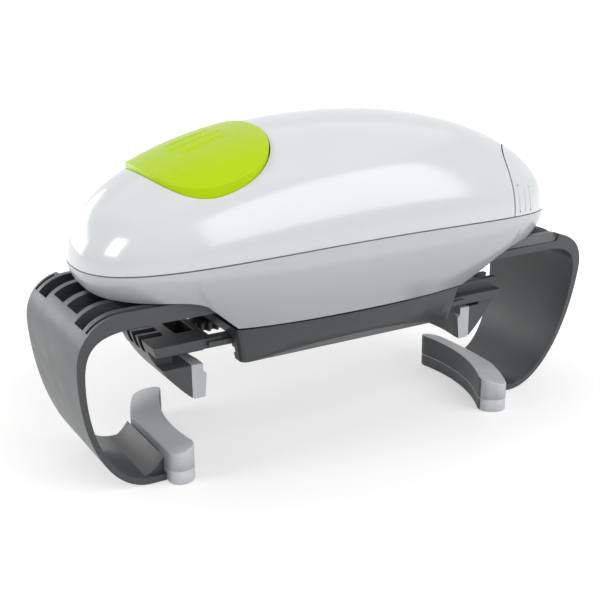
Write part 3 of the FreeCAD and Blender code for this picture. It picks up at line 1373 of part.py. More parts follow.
def coil(radius, wire, turns, height, place):
    """Coil spring of square wire along its own Z axis, from 0 up to its height."""
    steps = int(turns * COIL_STEPS)
    sections = []
    for number in range(steps + 1):
        turn = Rotation(Vector(0, 0, 1), 360 * number / COIL_STEPS)
        middle = wire + (height - 2 * wire) * number / steps
        corners = [Vector(radius + x * wire, 0, middle + z * wire)
                   for x, z in ((1, 1), (1, -1), (-1, -1), (-1, 1), (1, 1))]
        sections.append(Part.makePolygon([turn.multVec(corner) for corner in corners]))
    solid = Part.makeLoft(sections, True, True)
    solid.Placement = place
    return solid


def make_springs():
    space = size("spring_space")
    lane = size("cell_spacing") / 2
    ends = (Vector(size("cell_start") - space, lane, CELL_LEVEL),
            Vector(size("cell_start") + size("cell_length") + size("cell_terminal") - space, -lane,
                   CELL_LEVEL))
    pair = [coil(size("contact_spring_radius"), size("contact_wire"), size("contact_spring_turns"),
                 space, Placement(end, Rotation(Vector(0, 1, 0), 90))) for end in ends]
    seat = Vector(-size("button_centre"), 0, BOARD_TOP)
    button = coil(size("spring_radius"), size("spring_wire"), size("spring_turns"),
                  size("spring_length"), Placement(seat, Rotation()))
    return [feature("contact_springs", Part.makeCompound(pair)), feature("button_spring", button)]


def make_board():
    body = new_body("circuit_board")
    outline = new_sketch(body, offset=BOARD_X)
    draw_rectangle(outline, "-board_centre - board_half_length", "-board_half_width",
                   "-board_centre + board_half_length", "board_half_width")
    pad(body, outline, "board_wall")
    holes = new_sketch(body, offset=BOARD_TOP_X)
    for x, y in board_corners():
        draw_square(holes, x, y, "post_peg + seat_gap")
    pocket(body, holes, "board_wall + 1")
    return body


def make_switch():
    half = "switch_half_size"
    base = block("2 * " + half, "2 * " + half, "switch_height", "-button_centre - " + half, "-" + half,
                 BOARD_TOP_X)
    key = cylinder("switch_key_radius", "switch_key_height", "-button_centre", "0",
                   "%s + switch_height" % BOARD_TOP_X)
    return joined("button_switch", [base, key])


# ---------------------------------------------------------------- assembly

pieces = [make_top_shell(), make_bottom_shell(), make_battery_cover(), make_start_button(),
          make_chassis()]

arm = make_arm()
foot_pad = make_foot_pad()
jaw = make_jaw()
jaw_pad = make_jaw_pad()
for side, turn in (("right", 0), ("left", 180)):
    place = Placement(Vector(), Rotation(Vector(0, 0, 1), turn))
    pieces += [feature(side + "_arm", arm, place), feature(side + "_foot_pad", foot_pad, place),
               feature(side + "_jaw", jaw, place), feature(side + "_jaw_pad", jaw_pad, place)]

pieces += [make_carriage_housing(), make_carriage_cover(), make_spindle(), make_turntable_gear()]
pieces += make_gear_train()
pieces += make_rack_pinions()
pieces += [make_retainer(), make_deck(), make_gear_plate(), make_axles(), make_motor()]
pieces += [make_cells(), make_tray(), make_contacts()]
pieces += make_springs()
pieces += [make_board(), make_switch()]

doc.recompute()

for item in doc.Objects:
    if "Invalid" in item.State or "Error" in item.State:
        raise RuntimeError("%s failed: %s" % (item.Label, item.State))
os.makedirs("parts", exist_ok=True)
for piece in pieces:
    if piece.Shape.isNull() or not piece.Shape.isValid() or not piece.Shape.Solids:
        raise RuntimeError("%s has no valid solid" % piece.Label)
for piece in pieces:
    piece.Shape.exportStep(os.path.join("parts", piece.Label + ".step"))
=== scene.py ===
import math

import bmesh
import bpy
import numpy as np
from bpy.props import FloatProperty, FloatVectorProperty, PointerProperty
from bpy.types import Operator, Panel, PropertyGroup
from mathutils import Matrix, Vector


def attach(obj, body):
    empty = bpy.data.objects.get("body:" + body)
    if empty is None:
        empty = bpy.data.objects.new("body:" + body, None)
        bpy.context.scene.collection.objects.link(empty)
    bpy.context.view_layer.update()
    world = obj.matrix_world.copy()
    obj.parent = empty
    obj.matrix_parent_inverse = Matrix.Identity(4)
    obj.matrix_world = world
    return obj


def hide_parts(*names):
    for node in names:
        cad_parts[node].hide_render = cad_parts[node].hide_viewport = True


bl_info = {
    "name": "Jar Opener",
    "version": (1, 0, 0),
    "blender": (4, 5, 0),
    "location": "3D View > Sidebar > Jar Opener",
    "description": "Dresses an electric jar opener around its packed CAD frame",
    "category": "Object",
}

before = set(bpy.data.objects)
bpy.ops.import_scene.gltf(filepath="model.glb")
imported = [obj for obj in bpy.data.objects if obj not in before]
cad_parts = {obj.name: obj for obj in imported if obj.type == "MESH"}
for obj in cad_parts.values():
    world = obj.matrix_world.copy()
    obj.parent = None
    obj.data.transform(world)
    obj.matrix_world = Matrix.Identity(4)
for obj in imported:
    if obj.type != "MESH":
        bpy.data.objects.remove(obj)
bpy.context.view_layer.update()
MM = 0.001


# -------- what a user would change

def length(name, millimetres, description):
    return FloatProperty(name=name, description=description, default=millimetres * MM,
                         unit="LENGTH", subtype="DISTANCE", precision=5)


def colour(name, hex_colour, description):
    return FloatVectorProperty(name=name, description=description, subtype="COLOR", size=3,
                               min=0.0, max=1.0, default=linear(hex_colour))


def linear(hex_colour):
    """An sRGB hex colour as linear red, green and blue."""
    parts = [int(hex_colour[i:i + 2], 16) / 255 for i in (1, 3, 5)]
    return tuple(c / 12.92 if c <= 0.04045 else ((c + 0.055) / 1.055) ** 2.4 for c in parts)


class HousingSizes(PropertyGroup):
    half_length: length("Half length", 95.0, "Half length of the housing at the seam")
    half_width: length("Half width", 43.1, "Half width of the housing at the seam")
    seam: length("Seam height", 81.6, "Height of the seam at mid length")
    seam_drop: length("Seam drop", 6.0, "How far the seam falls towards the ends")
    rise: length("Dome rise", 36.5, "Height of the dome over the seam")
    wall: length("Wall", 2.2, "Wall of both shells")
    seam_gap: length("Seam gap", 0.4, "Width of the joint line between the shells")
    lip: length("Lip", 0.35, "Rounding of the shells' edges")
    skirt: length("Skirt", 52.6, "Lower edge of the bottom shell")
    skirt_half_length: length("Skirt half length", 70.0, "Half length of the skirt's oval")
    skirt_half_width: length("Skirt half width", 30.0, "Half width of the skirt at its edge")
    skirt_corner: length("Skirt corner", 47.6, "Where the skirt's edge starts to flare up")
    scoop: length("Scoop", 24.2, "Length of the flare at each end of the skirt")
    end_floor: length("End floor", 67.0, "Underside of the housing's ends")
    cover_side: length("Cover side", 60.5, "The battery cover's edge at the seam")
    cover_bulge: length("Cover bulge", 18.0, "How far that edge bows outwards")
    cover_bow: length("Cover bow", 34.0, "Half width of the bow")
    cover_gap: length("Cover gap", 0.6, "Gap round the battery cover")
    arm_slot: length("Arm slot", 28.3, "Half width of the room for the arms in the housing's ends")


class ButtonSizes(PropertyGroup):
    centre: length("Centre", 49.2, "Button centre from mid length")
    half_length: length("Half length", 21.0, "Half length of the button")
    half_width: length("Half width", 30.8, "Half width of the button")
    crown: length("Crown", 0.8, "How far the top rises over the dome's crest")
    flare: length("Flare", 4.2, "How much flatter the button's top is across the dome")
    end_flare: length("End flare", 1.2, "How much flatter it is along the dome")
    rim: length("Rim", 0.9, "Rounding of the button's rim")
    wall: length("Wall", 2.0, "Wall of the cap")
    sink: length("Sink", 2.6, "How far the sides reach under the dome's face")
    gap: length("Gap", 0.35, "Gap round the button")
    groove_depth: length("Groove depth", 0.7, "Depth of the grip grooves")
    plunger_axis: length("Plunger axis", 51.0, "Axis of the plunger and its spring")
    groove_half_width: length("Groove half width", 1.7, "Half width of the grip grooves")
    groove_pitch: length("Groove pitch", 6.4, "Distance between the grip grooves")
    groove_reach: length("Groove reach", 8.6, "Half length of the middle groove")
    groove_taper: length("Groove taper", 1.8, "How much shorter the outer grooves are at each end")


class ArmSizes(PropertyGroup):
    top: length("Top", 66.4, "Top of the arms' plates")
    plate: length("Plate", 5.6, "Height of the arms' ribbed plates")
    start: length("Start", 53.0, "Inner end of the plates")
    bend: length("Bend", 88.0, "Where the plates bend down")
    bend_lead: length("Bend lead", 4.0, "How far the inner face bends before the outer one does")
    reach: length("Reach", 104.5, "Widest point of the arms")
    widest: length("Widest", 50.0, "Height of the widest point")
    wall: length("Wall", 2.8, "Wall at the widest point")
    half_width: length("Half width", 28.0, "Half width of the plates")
    foot_half_width: length("Foot half width", 18.7, "Half width at the floor")
    heel: length("Heel", 78.5, "Where the arms reach the floor")
    tip: length("Tip", 73.3, "Inner end of the feet")
    foot_wall: length("Foot wall", 2.6, "Thickness of the feet")
    channel_depth: length("Channel depth", 4.2, "Depth of the channels between the ribs")
    channel_end: length("Channel end", 98.4, "Outer end of the middle channels")
    channel_sweep: length("Channel sweep", 3.0, "How much further the outer channels reach")
    relief_end: length("Relief end", 84.0, "Where the room for the other arm's rack ends")
    low_rim: length("Low rim", 63.4, "Top of the low rim on one side of the plates")
    step: length("Step", 90.2, "Where that rim steps up to the full height")
    tongue: length("Tongue", 8.2, "Top of the tongue that holds the pad")
    tongue_wall: length("Tongue wall", 2.9, "Wall of that tongue")
    tongue_half_width: length("Tongue half width", 12.0, "Half width of that tongue")
    slip: length("Slip", 0.3, "Gap under the tongue")
    ramp: length("Ramp", 10.5, "Length of the ramp behind the pad")
    ramp_half_width: length("Ramp half width", 17.0, "Half width of that ramp")
    edge: length("Edge", 0.55, "Rounding of the arms' edges")
    root_length: length("Root length", 5.0, "Length of the rack's root on the plate")
    rack_face: length("Rack face", 4.0, "Toothed side of the rack, from the middle")
    rack_back: length("Rack back", 13.45, "Back of the rack, from the middle")
    root_sink: length("Root sink", 0.5, "How far the rack's root reaches into the channel's floor")


class Finishes(PropertyGroup):
    white: colour("White", "#DDE0E2", "High-gloss white of the housing")
    # painted shade: the housing's white made darker for the bottom shell, which faces down
    lower_white_painted_shade: colour("Lower white", "#CCCFD1", "White of the bottom shell")
    lime: colour("Lime", "#BEDF00", "Lime of the start button")
    grey: colour("Grey", "#45474A", "Grey of the arms and the carriage")
    claw: colour("Claw", "#C4C6CA", "Lighter grey of the jaws")
    # painted shade: a darker copy of the pad rubber, for the faces that hold the jar and the lid
    grip_painted_shade: colour("Grip", "#515355", "Darker grey of the faces that hold the jar and the lid")
    pad: colour("Pad", "#CFD1D4", "Grey of the rubber pads")
    floor: colour("Floor", "#FBFBFA", "Backdrop")


# -------- curves and housing forms

def cubic(t, a, b, c, d):
    """Bezier polynomial; works on arrays."""
    s = 1 - t
    return a * s ** 3 + 3 * b * t * s ** 2 + 3 * c * t ** 2 * s + d * t ** 3


PLAN_FULLNESS = 0.60      # the same fullness values as the CAD source's
NOSE_FULLNESS = 0.80
CREST_FULLNESS = 0.60
SECTION_FULLNESS = 0.62
ARCH_FULLNESS = 1.06
FINE = np.linspace(0.0, 1.0, 20001)
PLAN_X = cubic(FINE, 0, PLAN_FULLNESS, 1, 1)
PLAN_Y = cubic(FINE, 1, 1, NOSE_FULLNESS, 0)
SECTION_Y = cubic(FINE, 1, 1, SECTION_FULLNESS, 0)
BUTTON_FULLNESS = 0.68
COVER_FULLNESS = 0.63     # of the bow in the battery cover's edge
HALVINGS = 48             # steps of each search by halving
TOUCHING = 1e-7           # points nearer than this lie on each other, in metres
NARROWEST = 1e-9          # stands in for the half width of 0 at the nose


def section_height(share):
    """Height of the dome's section over the seam at a share of its half width, both up to 1."""
    return cubic(np.interp(share, SECTION_Y[::-1], FINE[::-1]), 0, SECTION_FULLNESS, 1, 1)


def points(x, y, z):
    """Rows of points from arrays or single values."""
    return np.stack(np.broadcast_arrays(x, y, z), axis=-1)


def angles_round(count):
    """The angles of the points of a closed ring."""
    return np.linspace(0, 2 * math.pi, count + 1)[:-1]


class DomeForm:
    """The upper half of the housing, grown by outset; lift replaces outset upwards."""

    def __init__(self, housing, outset=0.0, lift=None):
        self.length = housing.half_length + outset
        self.width = housing.half_width + outset
        self.rise = housing.rise + (outset if lift is None else lift)
        self.seam = housing.seam
        self.drop = housing.seam_drop

    def station_of(self, x):
        """The station at x, 0 at mid length and 1 at the nose."""
        return np.interp(np.abs(x) / self.length, PLAN_X, FINE)

    def station(self, u):
        """Half width, rise and seam height at the station u."""
        half = self.width * cubic(u, 1, 1, NOSE_FULLNESS, 0)
        rise = self.rise * cubic(u, 1, 1, CREST_FULLNESS, 0)
        seam = self.seam - self.drop * cubic(u, 0, 0, ARCH_FULLNESS, 1)
        return half, rise, seam

    def at(self, x, y):
        """Height of the dome over the plan point x, y."""
        half, rise, seam = self.station(self.station_of(x))
        return seam + rise * section_height(np.abs(y) / np.maximum(half, NARROWEST))

    def across(self, x, w):
        """The y of the section line w, from 1 at one seam over 0 at the crest to -1."""
        half = self.station(self.station_of(x))[0]
        return np.sign(w) * half * cubic(1 - np.abs(w), 1, 1, SECTION_FULLNESS, 0)

    def facing(self, y, height):
        """The points at y and at a height over the seam, looked at along X."""
        low, high = np.zeros(np.shape(y)), np.ones(np.shape(y))
        for _ in range(HALVINGS):
            u = (low + high) / 2
            half, rise, _ = self.station(u)
            share = np.abs(y) / np.maximum(half, NARROWEST)
            outside = (share > 1) | (rise * section_height(share) < height)
            high = np.where(outside, u, high)
            low = np.where(outside, low, u)
        x = self.length * np.interp(low, FINE, PLAN_X)
        return points(x, y, self.station(low)[2] + height)


def cover_edge(housing, y):
    """The x of the battery cover's edge at y."""
    side, peak = housing.cover_side, housing.cover_side + housing.cover_bulge
    bow = housing.cover_bow
    across = cubic(FINE, bow, COVER_FULLNESS * bow, (1 - COVER_FULLNESS) * bow, 0)
    along = cubic(FINE, side, side, peak, peak)
    return np.interp(np.abs(y), across[::-1], along[::-1])


def button_outline(button, angle, outset=0.0):
    """The point of the button's oval that lies in the direction angle from its centre."""
    half_length, half_width = button.half_length + outset, button.half_width + outset
    x = cubic(FINE, half_length, half_length, BUTTON_FULLNESS * half_length, 0)
    y = cubic(FINE, 0, BUTTON_FULLNESS * half_width, half_width, half_width)
    turn = np.arctan2(np.abs(np.sin(angle)), np.abs(np.cos(angle)))
    t = np.interp(turn, np.arctan2(y, x), FINE)
    px = np.sign(np.cos(angle)) * np.interp(t, FINE, x)
    return px - button.centre, np.sign(np.sin(angle)) * np.interp(t, FINE, y)


# -------- mesh helpers

def shaped_grid(bm, place):
    """A grid of vertices set down at place[column, row]."""
    columns, rows = place.shape[0] - 1, place.shape[1] - 1
    made = bmesh.ops.create_grid(bm, x_segments=columns, y_segments=rows, size=1.0)
    for vertex in made["verts"]:
        column = round((vertex.co.x + 1) / 2 * columns)
        row = round((vertex.co.y + 1) / 2 * rows)
        vertex.co = place[column, row]
    return made["verts"]


def closed_tube(bm, rings):
    """A skin through closed rings of points; a ring whose points coincide is a pole."""
    place = np.array(rings, float).transpose(1, 0, 2)
    shaped_grid(bm, np.concatenate([place, place[:1]]))


def merge(bm, distance=2e-6):
    bmesh.ops.remove_doubles(bm, verts=bm.verts[:], dist=distance)
    bmesh.ops.dissolve_degenerate(bm, edges=bm.edges[:], dist=TOUCHING)


def fill_holes(bm):
    open_edges = [edge for edge in bm.edges if edge.is_boundary]
    bmesh.ops.holes_fill(bm, edges=open_edges, sides=0)


def block(bm, low, high):
    """A box between two corners."""
    low, high = Vector(low), Vector(high)
    size = high - low
    matrix = Matrix.Translation((low + high) / 2) @ Matrix.Diagonal((*size, 1.0))
    bmesh.ops.create_cube(bm, size=1.0, matrix=matrix)


def slab(bm, corners, direction):
    """A flat outline pushed along a direction."""
    face = bm.faces.new([bm.verts.new(corner) for corner in corners])
    grown = bmesh.ops.extrude_face_region(bm, geom=[face])["geom"]
    fresh = [item for item in grown if isinstance(item, bmesh.types.BMVert)]
    bmesh.ops.translate(bm, verts=fresh, vec=direction)


def join(bm, other):
    """Adds another mesh to this one."""
    mesh = bpy.data.meshes.new("joined")
    other.to_mesh(mesh)
    other.free()
    bm.from_mesh(mesh)
    bpy.data.meshes.remove(mesh)


def cut_off(bm, point, normal):
    """Takes away what lies beyond a plane and closes the cut."""
    made = bmesh.ops.bisect_plane(bm, geom=bm.verts[:] + bm.edges[:] + bm.faces[:], dist=TOUCHING,
                                  plane_co=point, plane_no=normal, clear_outer=True)
    edges = [item for item in made["geom_cut"] if isinstance(item, bmesh.types.BMEdge)]
    bmesh.ops.holes_fill(bm, edges=edges, sides=0)


def half_turned(bm):
    bmesh.ops.rotate(bm, cent=(0, 0, 0), matrix=Matrix.Rotation(math.pi, 3, "Z"), verts=bm.verts[:])


FLAT_WEIGHT = 60          # how strongly large faces keep their own shading, in percent
COPLANAR = math.radians(0.3)   # faces of a CAD mesh within this angle are one flat face


def object_from(bm, name):
    """A new object of the scene with this mesh."""
    mesh = bpy.data.meshes.new(name)
    bm.to_mesh(mesh)
    bm.free()
    made = bpy.data.objects.new(name, mesh)
    bpy.context.scene.collection.objects.link(made)
    return made


def piece_from(bm, name, body, material, replaced=(), edge=0.0, segments=3, angle=40.0):
    """The finished object: faces outwards, edges rounded, riding on its body."""
    bmesh.ops.recalc_face_normals(bm, faces=bm.faces[:])
    piece = object_from(bm, name)
    piece.data.materials.append(material)
    piece.data.shade_smooth()
    if edge:
        bevel = piece.modifiers.new("Edges", "BEVEL")
        bevel.width = edge
        bevel.segments = segments
        bevel.limit_method = "ANGLE"
        bevel.angle_limit = math.radians(angle)
        even = piece.modifiers.new("Even shading", "WEIGHTED_NORMAL")
        even.keep_sharp = True
        even.weight = FLAT_WEIGHT
    else:
        piece.data.set_sharp_from_angle(angle=math.radians(angle))
    if replaced:
        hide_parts(*replaced)
    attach(piece, body)
    return piece


def copy_of(node):
    """A merged copy of a CAD node's mesh, with its flat faces made whole."""
    bm = bmesh.new()
    bm.from_mesh(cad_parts[node].data)
    merge(bm, 1e-6)
    bmesh.ops.dissolve_limit(bm, angle_limit=COPLANAR, verts=bm.verts[:],
                             edges=bm.edges[:], use_dissolve_boundaries=False)
    return bm


# -------- materials

def add_node(tree, kind, inputs=None, **settings):
    """A shader node with its settings; inputs holds values, or the sockets that feed it."""
    made = tree.nodes.new("ShaderNode" + kind)
    for name, value in settings.items():
        setattr(made, name, value)
    for name, value in (inputs or {}).items():
        socket = made.inputs[name]
        if isinstance(value, bpy.types.NodeSocket):
            tree.links.new(value, socket)
        else:
            socket.default_value = value
    return made


def rgba(value):
    return (*value, 1.0)


def shaded(value, factor):
    """A colour made lighter or darker."""
    return tuple(min(1.0, c * factor) for c in value)


MOTTLE_SCALE = 55.0       # colour mottle about 18 mm across
POLISH_SCALE = 140.0      # uneven polish about 7 mm across
HIGHLIGHT_FROM, HIGHLIGHT_TO = 0.52, 0.62   # pointiness where the painted highlight on an edge starts, and where it is strongest
HIGHLIGHT_TINT = 1.5           # how much lighter the painted edge highlight makes an edge
COAT_ROUGHNESS = 0.13
LINE_SCALE = 4000.0       # machining lines about 0.25 mm apart
LINE_STRETCH = (1.0, 1.0, 0.02)
LINE_DEPTH = 0.02 * MM


def new_material(name):
    """An empty material: itself, its node tree and the piece's own coordinates."""
    material = bpy.data.materials.new(name)
    material.use_nodes = True
    tree = material.node_tree
    tree.nodes.clear()
    return material, tree, add_node(tree, "TexCoord").outputs["Object"]


def moulded_plastic(name, base, roughness, ior, grain, grain_depth, tone=0.03, edge_highlight=0.0,
                    roughness_play=0.03, coat=0.0):
    """Injection-moulded plastic: a faint mottle in the colour, uneven polish and a surface grain
    given in metres."""
    material, tree, here = new_material(name)
    mottle = add_node(tree, "TexNoise", {"Vector": here, "Scale": MOTTLE_SCALE, "Detail": 3.0})
    tint = add_node(tree, "ValToRGB", {"Fac": mottle.outputs["Fac"]})
    for stop, place, factor in zip(tint.color_ramp.elements, (0.3, 0.7), (1 - tone, 1 + tone)):
        stop.position = place
        stop.color = rgba(shaded(base, factor))
    paint = tint.outputs["Color"]
    # painted highlight: pointed edges are made lighter, standing in for the light that they catch
    if edge_highlight:
        edges = add_node(tree, "NewGeometry").outputs["Pointiness"]
        highlighted = add_node(tree, "MapRange", {"Value": edges, "From Min": HIGHLIGHT_FROM,
                                             "From Max": HIGHLIGHT_TO, "To Min": 0.0,
                                             "To Max": edge_highlight})
        mixed = add_node(tree, "Mix", data_type="RGBA")
        tree.links.new(highlighted.outputs["Result"], mixed.inputs[0])
        tree.links.new(paint, mixed.inputs[6])
        mixed.inputs[7].default_value = rgba(shaded(base, HIGHLIGHT_TINT))
        paint = mixed.outputs[2]
    polish = add_node(tree, "TexNoise", {"Vector": here, "Scale": POLISH_SCALE, "Detail": 2.0})
    rough = add_node(tree, "MapRange", {"Value": polish.outputs["Fac"], "From Min": 0.3,
                                        "From Max": 0.7, "To Min": roughness - roughness_play,
                                        "To Max": roughness + roughness_play})
    texture = add_node(tree, "TexNoise", {"Vector": here, "Scale": 1 / grain, "Detail": 2.0})
    bump = add_node(tree, "Bump", {"Height": texture.outputs["Fac"], "Strength": 1.0,
                                   "Distance": grain_depth})
    shader = add_node(tree, "BsdfPrincipled", {"Base Color": paint,
                                               "Roughness": rough.outputs["Result"],
                                               "Normal": bump.outputs["Normal"],
                                               "IOR": ior, "Coat Weight": coat,
                                               "Coat Roughness": COAT_ROUGHNESS})
    add_node(tree, "OutputMaterial", {"Surface": shader.outputs["BSDF"]})
    return material


def plain_metal(name, base, roughness):
    """Metal with fine lines left by drawing, turning or plating."""
    material, tree, here = new_material(name)
    laid = add_node(tree, "Mapping", {"Vector": here, "Scale": LINE_STRETCH})
    lines = add_node(tree, "TexNoise", {"Vector": laid.outputs["Vector"],
                                        "Scale": LINE_SCALE, "Detail": 3.0})
    tint = add_node(tree, "ValToRGB", {"Fac": lines.outputs["Fac"]})
    for stop, place, factor in zip(tint.color_ramp.elements, (0.3, 0.7), (0.88, 1.08)):
        stop.position = place
        stop.color = rgba(shaded(base, factor))
    rough = add_node(tree, "MapRange", {"Value": lines.outputs["Fac"], "To Min": roughness * 0.7,
                                        "To Max": roughness * 1.3})
    bump = add_node(tree, "Bump", {"Height": lines.outputs["Fac"], "Strength": 0.4,
                                   "Distance": LINE_DEPTH})
    shader = add_node(tree, "BsdfPrincipled", {"Base Color": tint.outputs["Color"], "Metallic": 1.0,
                                               "Roughness": rough.outputs["Result"],
                                               "Normal": bump.outputs["Normal"]})
    add_node(tree, "OutputMaterial", {"Surface": shader.outputs["BSDF"]})
    return material


materials = {}


def make_materials():
    finish = bpy.context.scene.jar_opener_finishes
    materials.update({
        # high-gloss ABS from a polished mould: sharp reflections, only a trace of waviness
        "white": moulded_plastic("gloss_abs_white", finish.white, 0.17, 1.52, 2.2 * MM, 0.004 * MM,
                                 tone=0.006, roughness_play=0.015, coat=0.6),
        # the same white with painted shade for the bottom shell, without the coat
        "lower": moulded_plastic("gloss_abs_white_painted_shade", finish.lower_white_painted_shade, 0.17, 1.52, 2.2 * MM,
                                 0.004 * MM, tone=0.008, roughness_play=0.02),
        "lime": moulded_plastic("gloss_abs_lime", finish.lime, 0.26, 1.25, 1.6 * MM, 0.006 * MM,
                                tone=0.015),
        # spark-eroded ABS: an even satin with a grain of about 0.3 mm
        "grey": moulded_plastic("satin_abs_grey", finish.grey, 0.36, 1.5, 0.32 * MM, 0.012 * MM,
                                tone=0.04, edge_highlight=0.25),
        "claw": moulded_plastic("satin_abs_light", finish.claw, 0.4, 1.5, 0.32 * MM, 0.012 * MM,
                                tone=0.03, edge_highlight=0.2),
        # thermoplastic rubber: nearly matt, slightly dusty
        "pad": moulded_plastic("tpe_rubber", finish.pad, 0.55, 1.49, 0.25 * MM, 0.015 * MM,
                               tone=0.05, edge_highlight=0.15, roughness_play=0.06),
        # the same rubber with painted shade: darker on the faces that look at the jar or the lid,
        # which lie in shade
        "grip_painted_shade": moulded_plastic("tpe_rubber_painted_shade", finish.grip_painted_shade, 0.6, 1.49, 0.25 * MM, 0.015 * MM,
                                tone=0.05, roughness_play=0.05),
        # glass-filled polypropylene: dull and nearly black
        "dark": moulded_plastic("moulded_pp_dark", linear("#2E3032"), 0.5, 1.49, 0.3 * MM,
                                0.012 * MM, tone=0.05),
        "nylon": moulded_plastic("milled_acetal", linear("#E4E1D6"), 0.35, 1.48, 0.3 * MM,
                                 0.006 * MM, tone=0.03),
        "board": moulded_plastic("solder_mask_green", linear("#1C6B38"), 0.3, 1.5, 0.5 * MM,
                                 0.006 * MM, tone=0.08),
        "switch": moulded_plastic("switch_black", linear("#1A1A1B"), 0.45, 1.5, 0.3 * MM,
                                  0.006 * MM, tone=0.05),
        "steel": plain_metal("turned_steel", linear("#B9BBBE"), 0.28),
        "can": plain_metal("zinc_plated_can", linear("#C2C4C6"), 0.32),
        "nickel": plain_metal("nickel_plate", linear("#CFCBC0"), 0.2),
        "cell": moulded_plastic("cell_sleeve", linear("#23262B"), 0.22, 1.5, 1.0 * MM, 0.003 * MM,
                                tone=0.03),
    })


# -------- housing pieces

ACROSS = 96               # faces over the dome from seam to seam
SPLIT = -0.020            # where the button's rings meet the long body of the dome
BUTTON_RINGS = 44         # rings of faces round the button's opening
ROUND_SEAM = 176          # faces along the seam round the button's end
LENGTHWISE = 72           # faces along the dome from SPLIT to the battery cover
COVER_SEARCH = (0.040, 0.0949)   # between these x lies the battery cover's edge
COVER_ROWS = 44           # rings of faces from the cover's edge in to its nose
COVER_SIDES, COVER_CROWN = 20, 56   # faces up the sides and over the crown of the nose's patch
PATCH_WIDTH, PATCH_HEIGHT = 0.372, 0.2   # half width and height of that patch, as shares
OPENING_REACH = 1.15      # an oval this much larger holds all of the button's opening
FINGER_LINES = (63.8, 67.6, 71.2)   # where the cover's grip lines lie, in mm from mid length
FINGER_SPAN = (0.03, 0.24)   # from where to where they run up the dome's section
FINGER_PROFILE = ((-0.28, -0.5), (-0.28, 0.112), (-0.112, 0.28), (0.112, 0.28), (0.28, 0.112),
                  (0.28, -0.5))   # a grip line's section in mm, along the cover and out of it
FINGER_STATIONS = 11
FINGER_OUT = Vector((0.35, 0.85, 0.35)).normalized()   # out of the cover's side
SCOOP_START, SCOOP_END, SCOOP_RISE = 0.38, 0.52, 0.6   # fullness of the skirt's flare
BOWL_ROWS, BOWL_QUARTER = 26, 72   # faces up the bottom shell and round a quarter of it
PLAN_STRETCH = 2.2        # the housing is about this much longer than wide
END_STATIONS, END_ROWS, END_ROUND = 240, 8, 60   # faces of the housing's ends
ROOF_LAP = 0.4 * MM       # how far the roof over an arm laps over the strips beside it
SEAM_BAND = 3 * MM        # the shell's upper edge lies less than this under the seam's ends
SEAM_SAMPLES = 6001       # points on the seam between which its length is measured


def seam_points(form, count):
    """Plan points along the seam from SPLIT on the +Y side round the button end to -Y."""
    u = np.linspace(form.station_of(SPLIT), 1.0, SEAM_SAMPLES)
    x = -form.length * np.interp(u, FINE, PLAN_X)
    y = form.width * np.interp(u, FINE, PLAN_Y)
    x = np.concatenate([x, x[-2::-1]])
    y = np.concatenate([y, -y[-2::-1]])
    run = np.concatenate([[0], np.cumsum(np.hypot(np.diff(x), np.diff(y)))])
    steps = np.linspace(0, run[-1], count + 1)
    return np.interp(steps, run, x), np.interp(steps, run, y)


def cover_line(housing, form, w, shift=0.0):
    """The x where the section lines w of the dome cross the battery cover's shifted edge."""
    low, high = (np.full(w.shape, x) for x in COVER_SEARCH)
    for _ in range(HALVINGS):
        x = (low + high) / 2
        beyond = x > cover_edge(housing, form.across(x, w)) + shift
        high, low = np.where(beyond, x, high), np.where(beyond, low, x)
    return low


def top_shell_skin(bm, housing, button, form):
    """One face of the top shell: rings round the button's opening, then the long body."""
    w = np.linspace(-1, 1, ACROSS + 1)
    seam_x, seam_y = seam_points(form, ROUND_SEAM)
    outer_x = np.concatenate([seam_x, np.full(ACROSS + 1, SPLIT)[1:]])
    outer_y = np.concatenate([seam_y, form.across(SPLIT, w)[1:]])
    bulk = np.concatenate([np.ones(ROUND_SEAM + 1), np.abs(w[1:]) ** 3])
    angle = np.arctan2(outer_y, outer_x + button.centre)
    inner_x, inner_y = button_outline(button, angle, button.gap)
    place = np.zeros((len(outer_x), BUTTON_RINGS + 1, 3))
    for row in range(BUTTON_RINGS + 1):
        t = row / BUTTON_RINGS
        ease = bulk * math.sin(math.pi * t / 2) + (1 - bulk) * t
        x = inner_x + (outer_x - inner_x) * ease
        y = inner_y + (outer_y - inner_y) * ease
        place[:, row] = points(x, y, form.at(x, y))
    shaped_grid(bm, place)
    edge = cover_line(housing, form, w)
    body = np.zeros((ACROSS + 1, LENGTHWISE + 1, 3))
    for row in range(LENGTHWISE + 1):
        x = SPLIT + (edge - SPLIT) * row / LENGTHWISE
        y = form.across(x, w)
        body[:, row] = points(x, y, form.at(x, y))
    shaped_grid(bm, body)
    merge(bm)


def lift_off_seam(bm, form, gap):
    """Keeps the mesh a little over the seam, so that the joint line shows."""
    for vertex in bm.verts:
        seam = form.station(form.station_of(vertex.co.x))[2]
        vertex.co.z = max(vertex.co.z, float(seam) + gap)


def close_between(bm, groups):
    """Bridges pairs of open loops; groups tells which loop a boundary vertex belongs to."""
    edges = {}
    for edge in bm.edges:
        if edge.is_boundary:
            key = groups((edge.verts[0].co + edge.verts[1].co) / 2)
            edges.setdefault(key, []).append(edge)
    for loop in edges.values():
        bmesh.ops.bridge_loops(bm, edges=loop)


def make_top_shell():
    housing = bpy.context.scene.jar_opener_housing
    button = bpy.context.scene.jar_opener_button
    bm = bmesh.new()
    for form in (DomeForm(housing), DomeForm(housing, -housing.wall)):
        skin = bmesh.new()
        top_shell_skin(skin, housing, button, form)
        lift_off_seam(skin, form, housing.seam_gap / 2)
        join(bm, skin)

    def loop(point):
        x = (point.x + button.centre) / (button.half_length * OPENING_REACH)
        return math.hypot(x, point.y / (button.half_width * OPENING_REACH)) < 1

    close_between(bm, loop)
    piece_from(bm, "dome_shell", "housing", materials["white"], ("top_shell",),
               edge=housing.lip, angle=45)


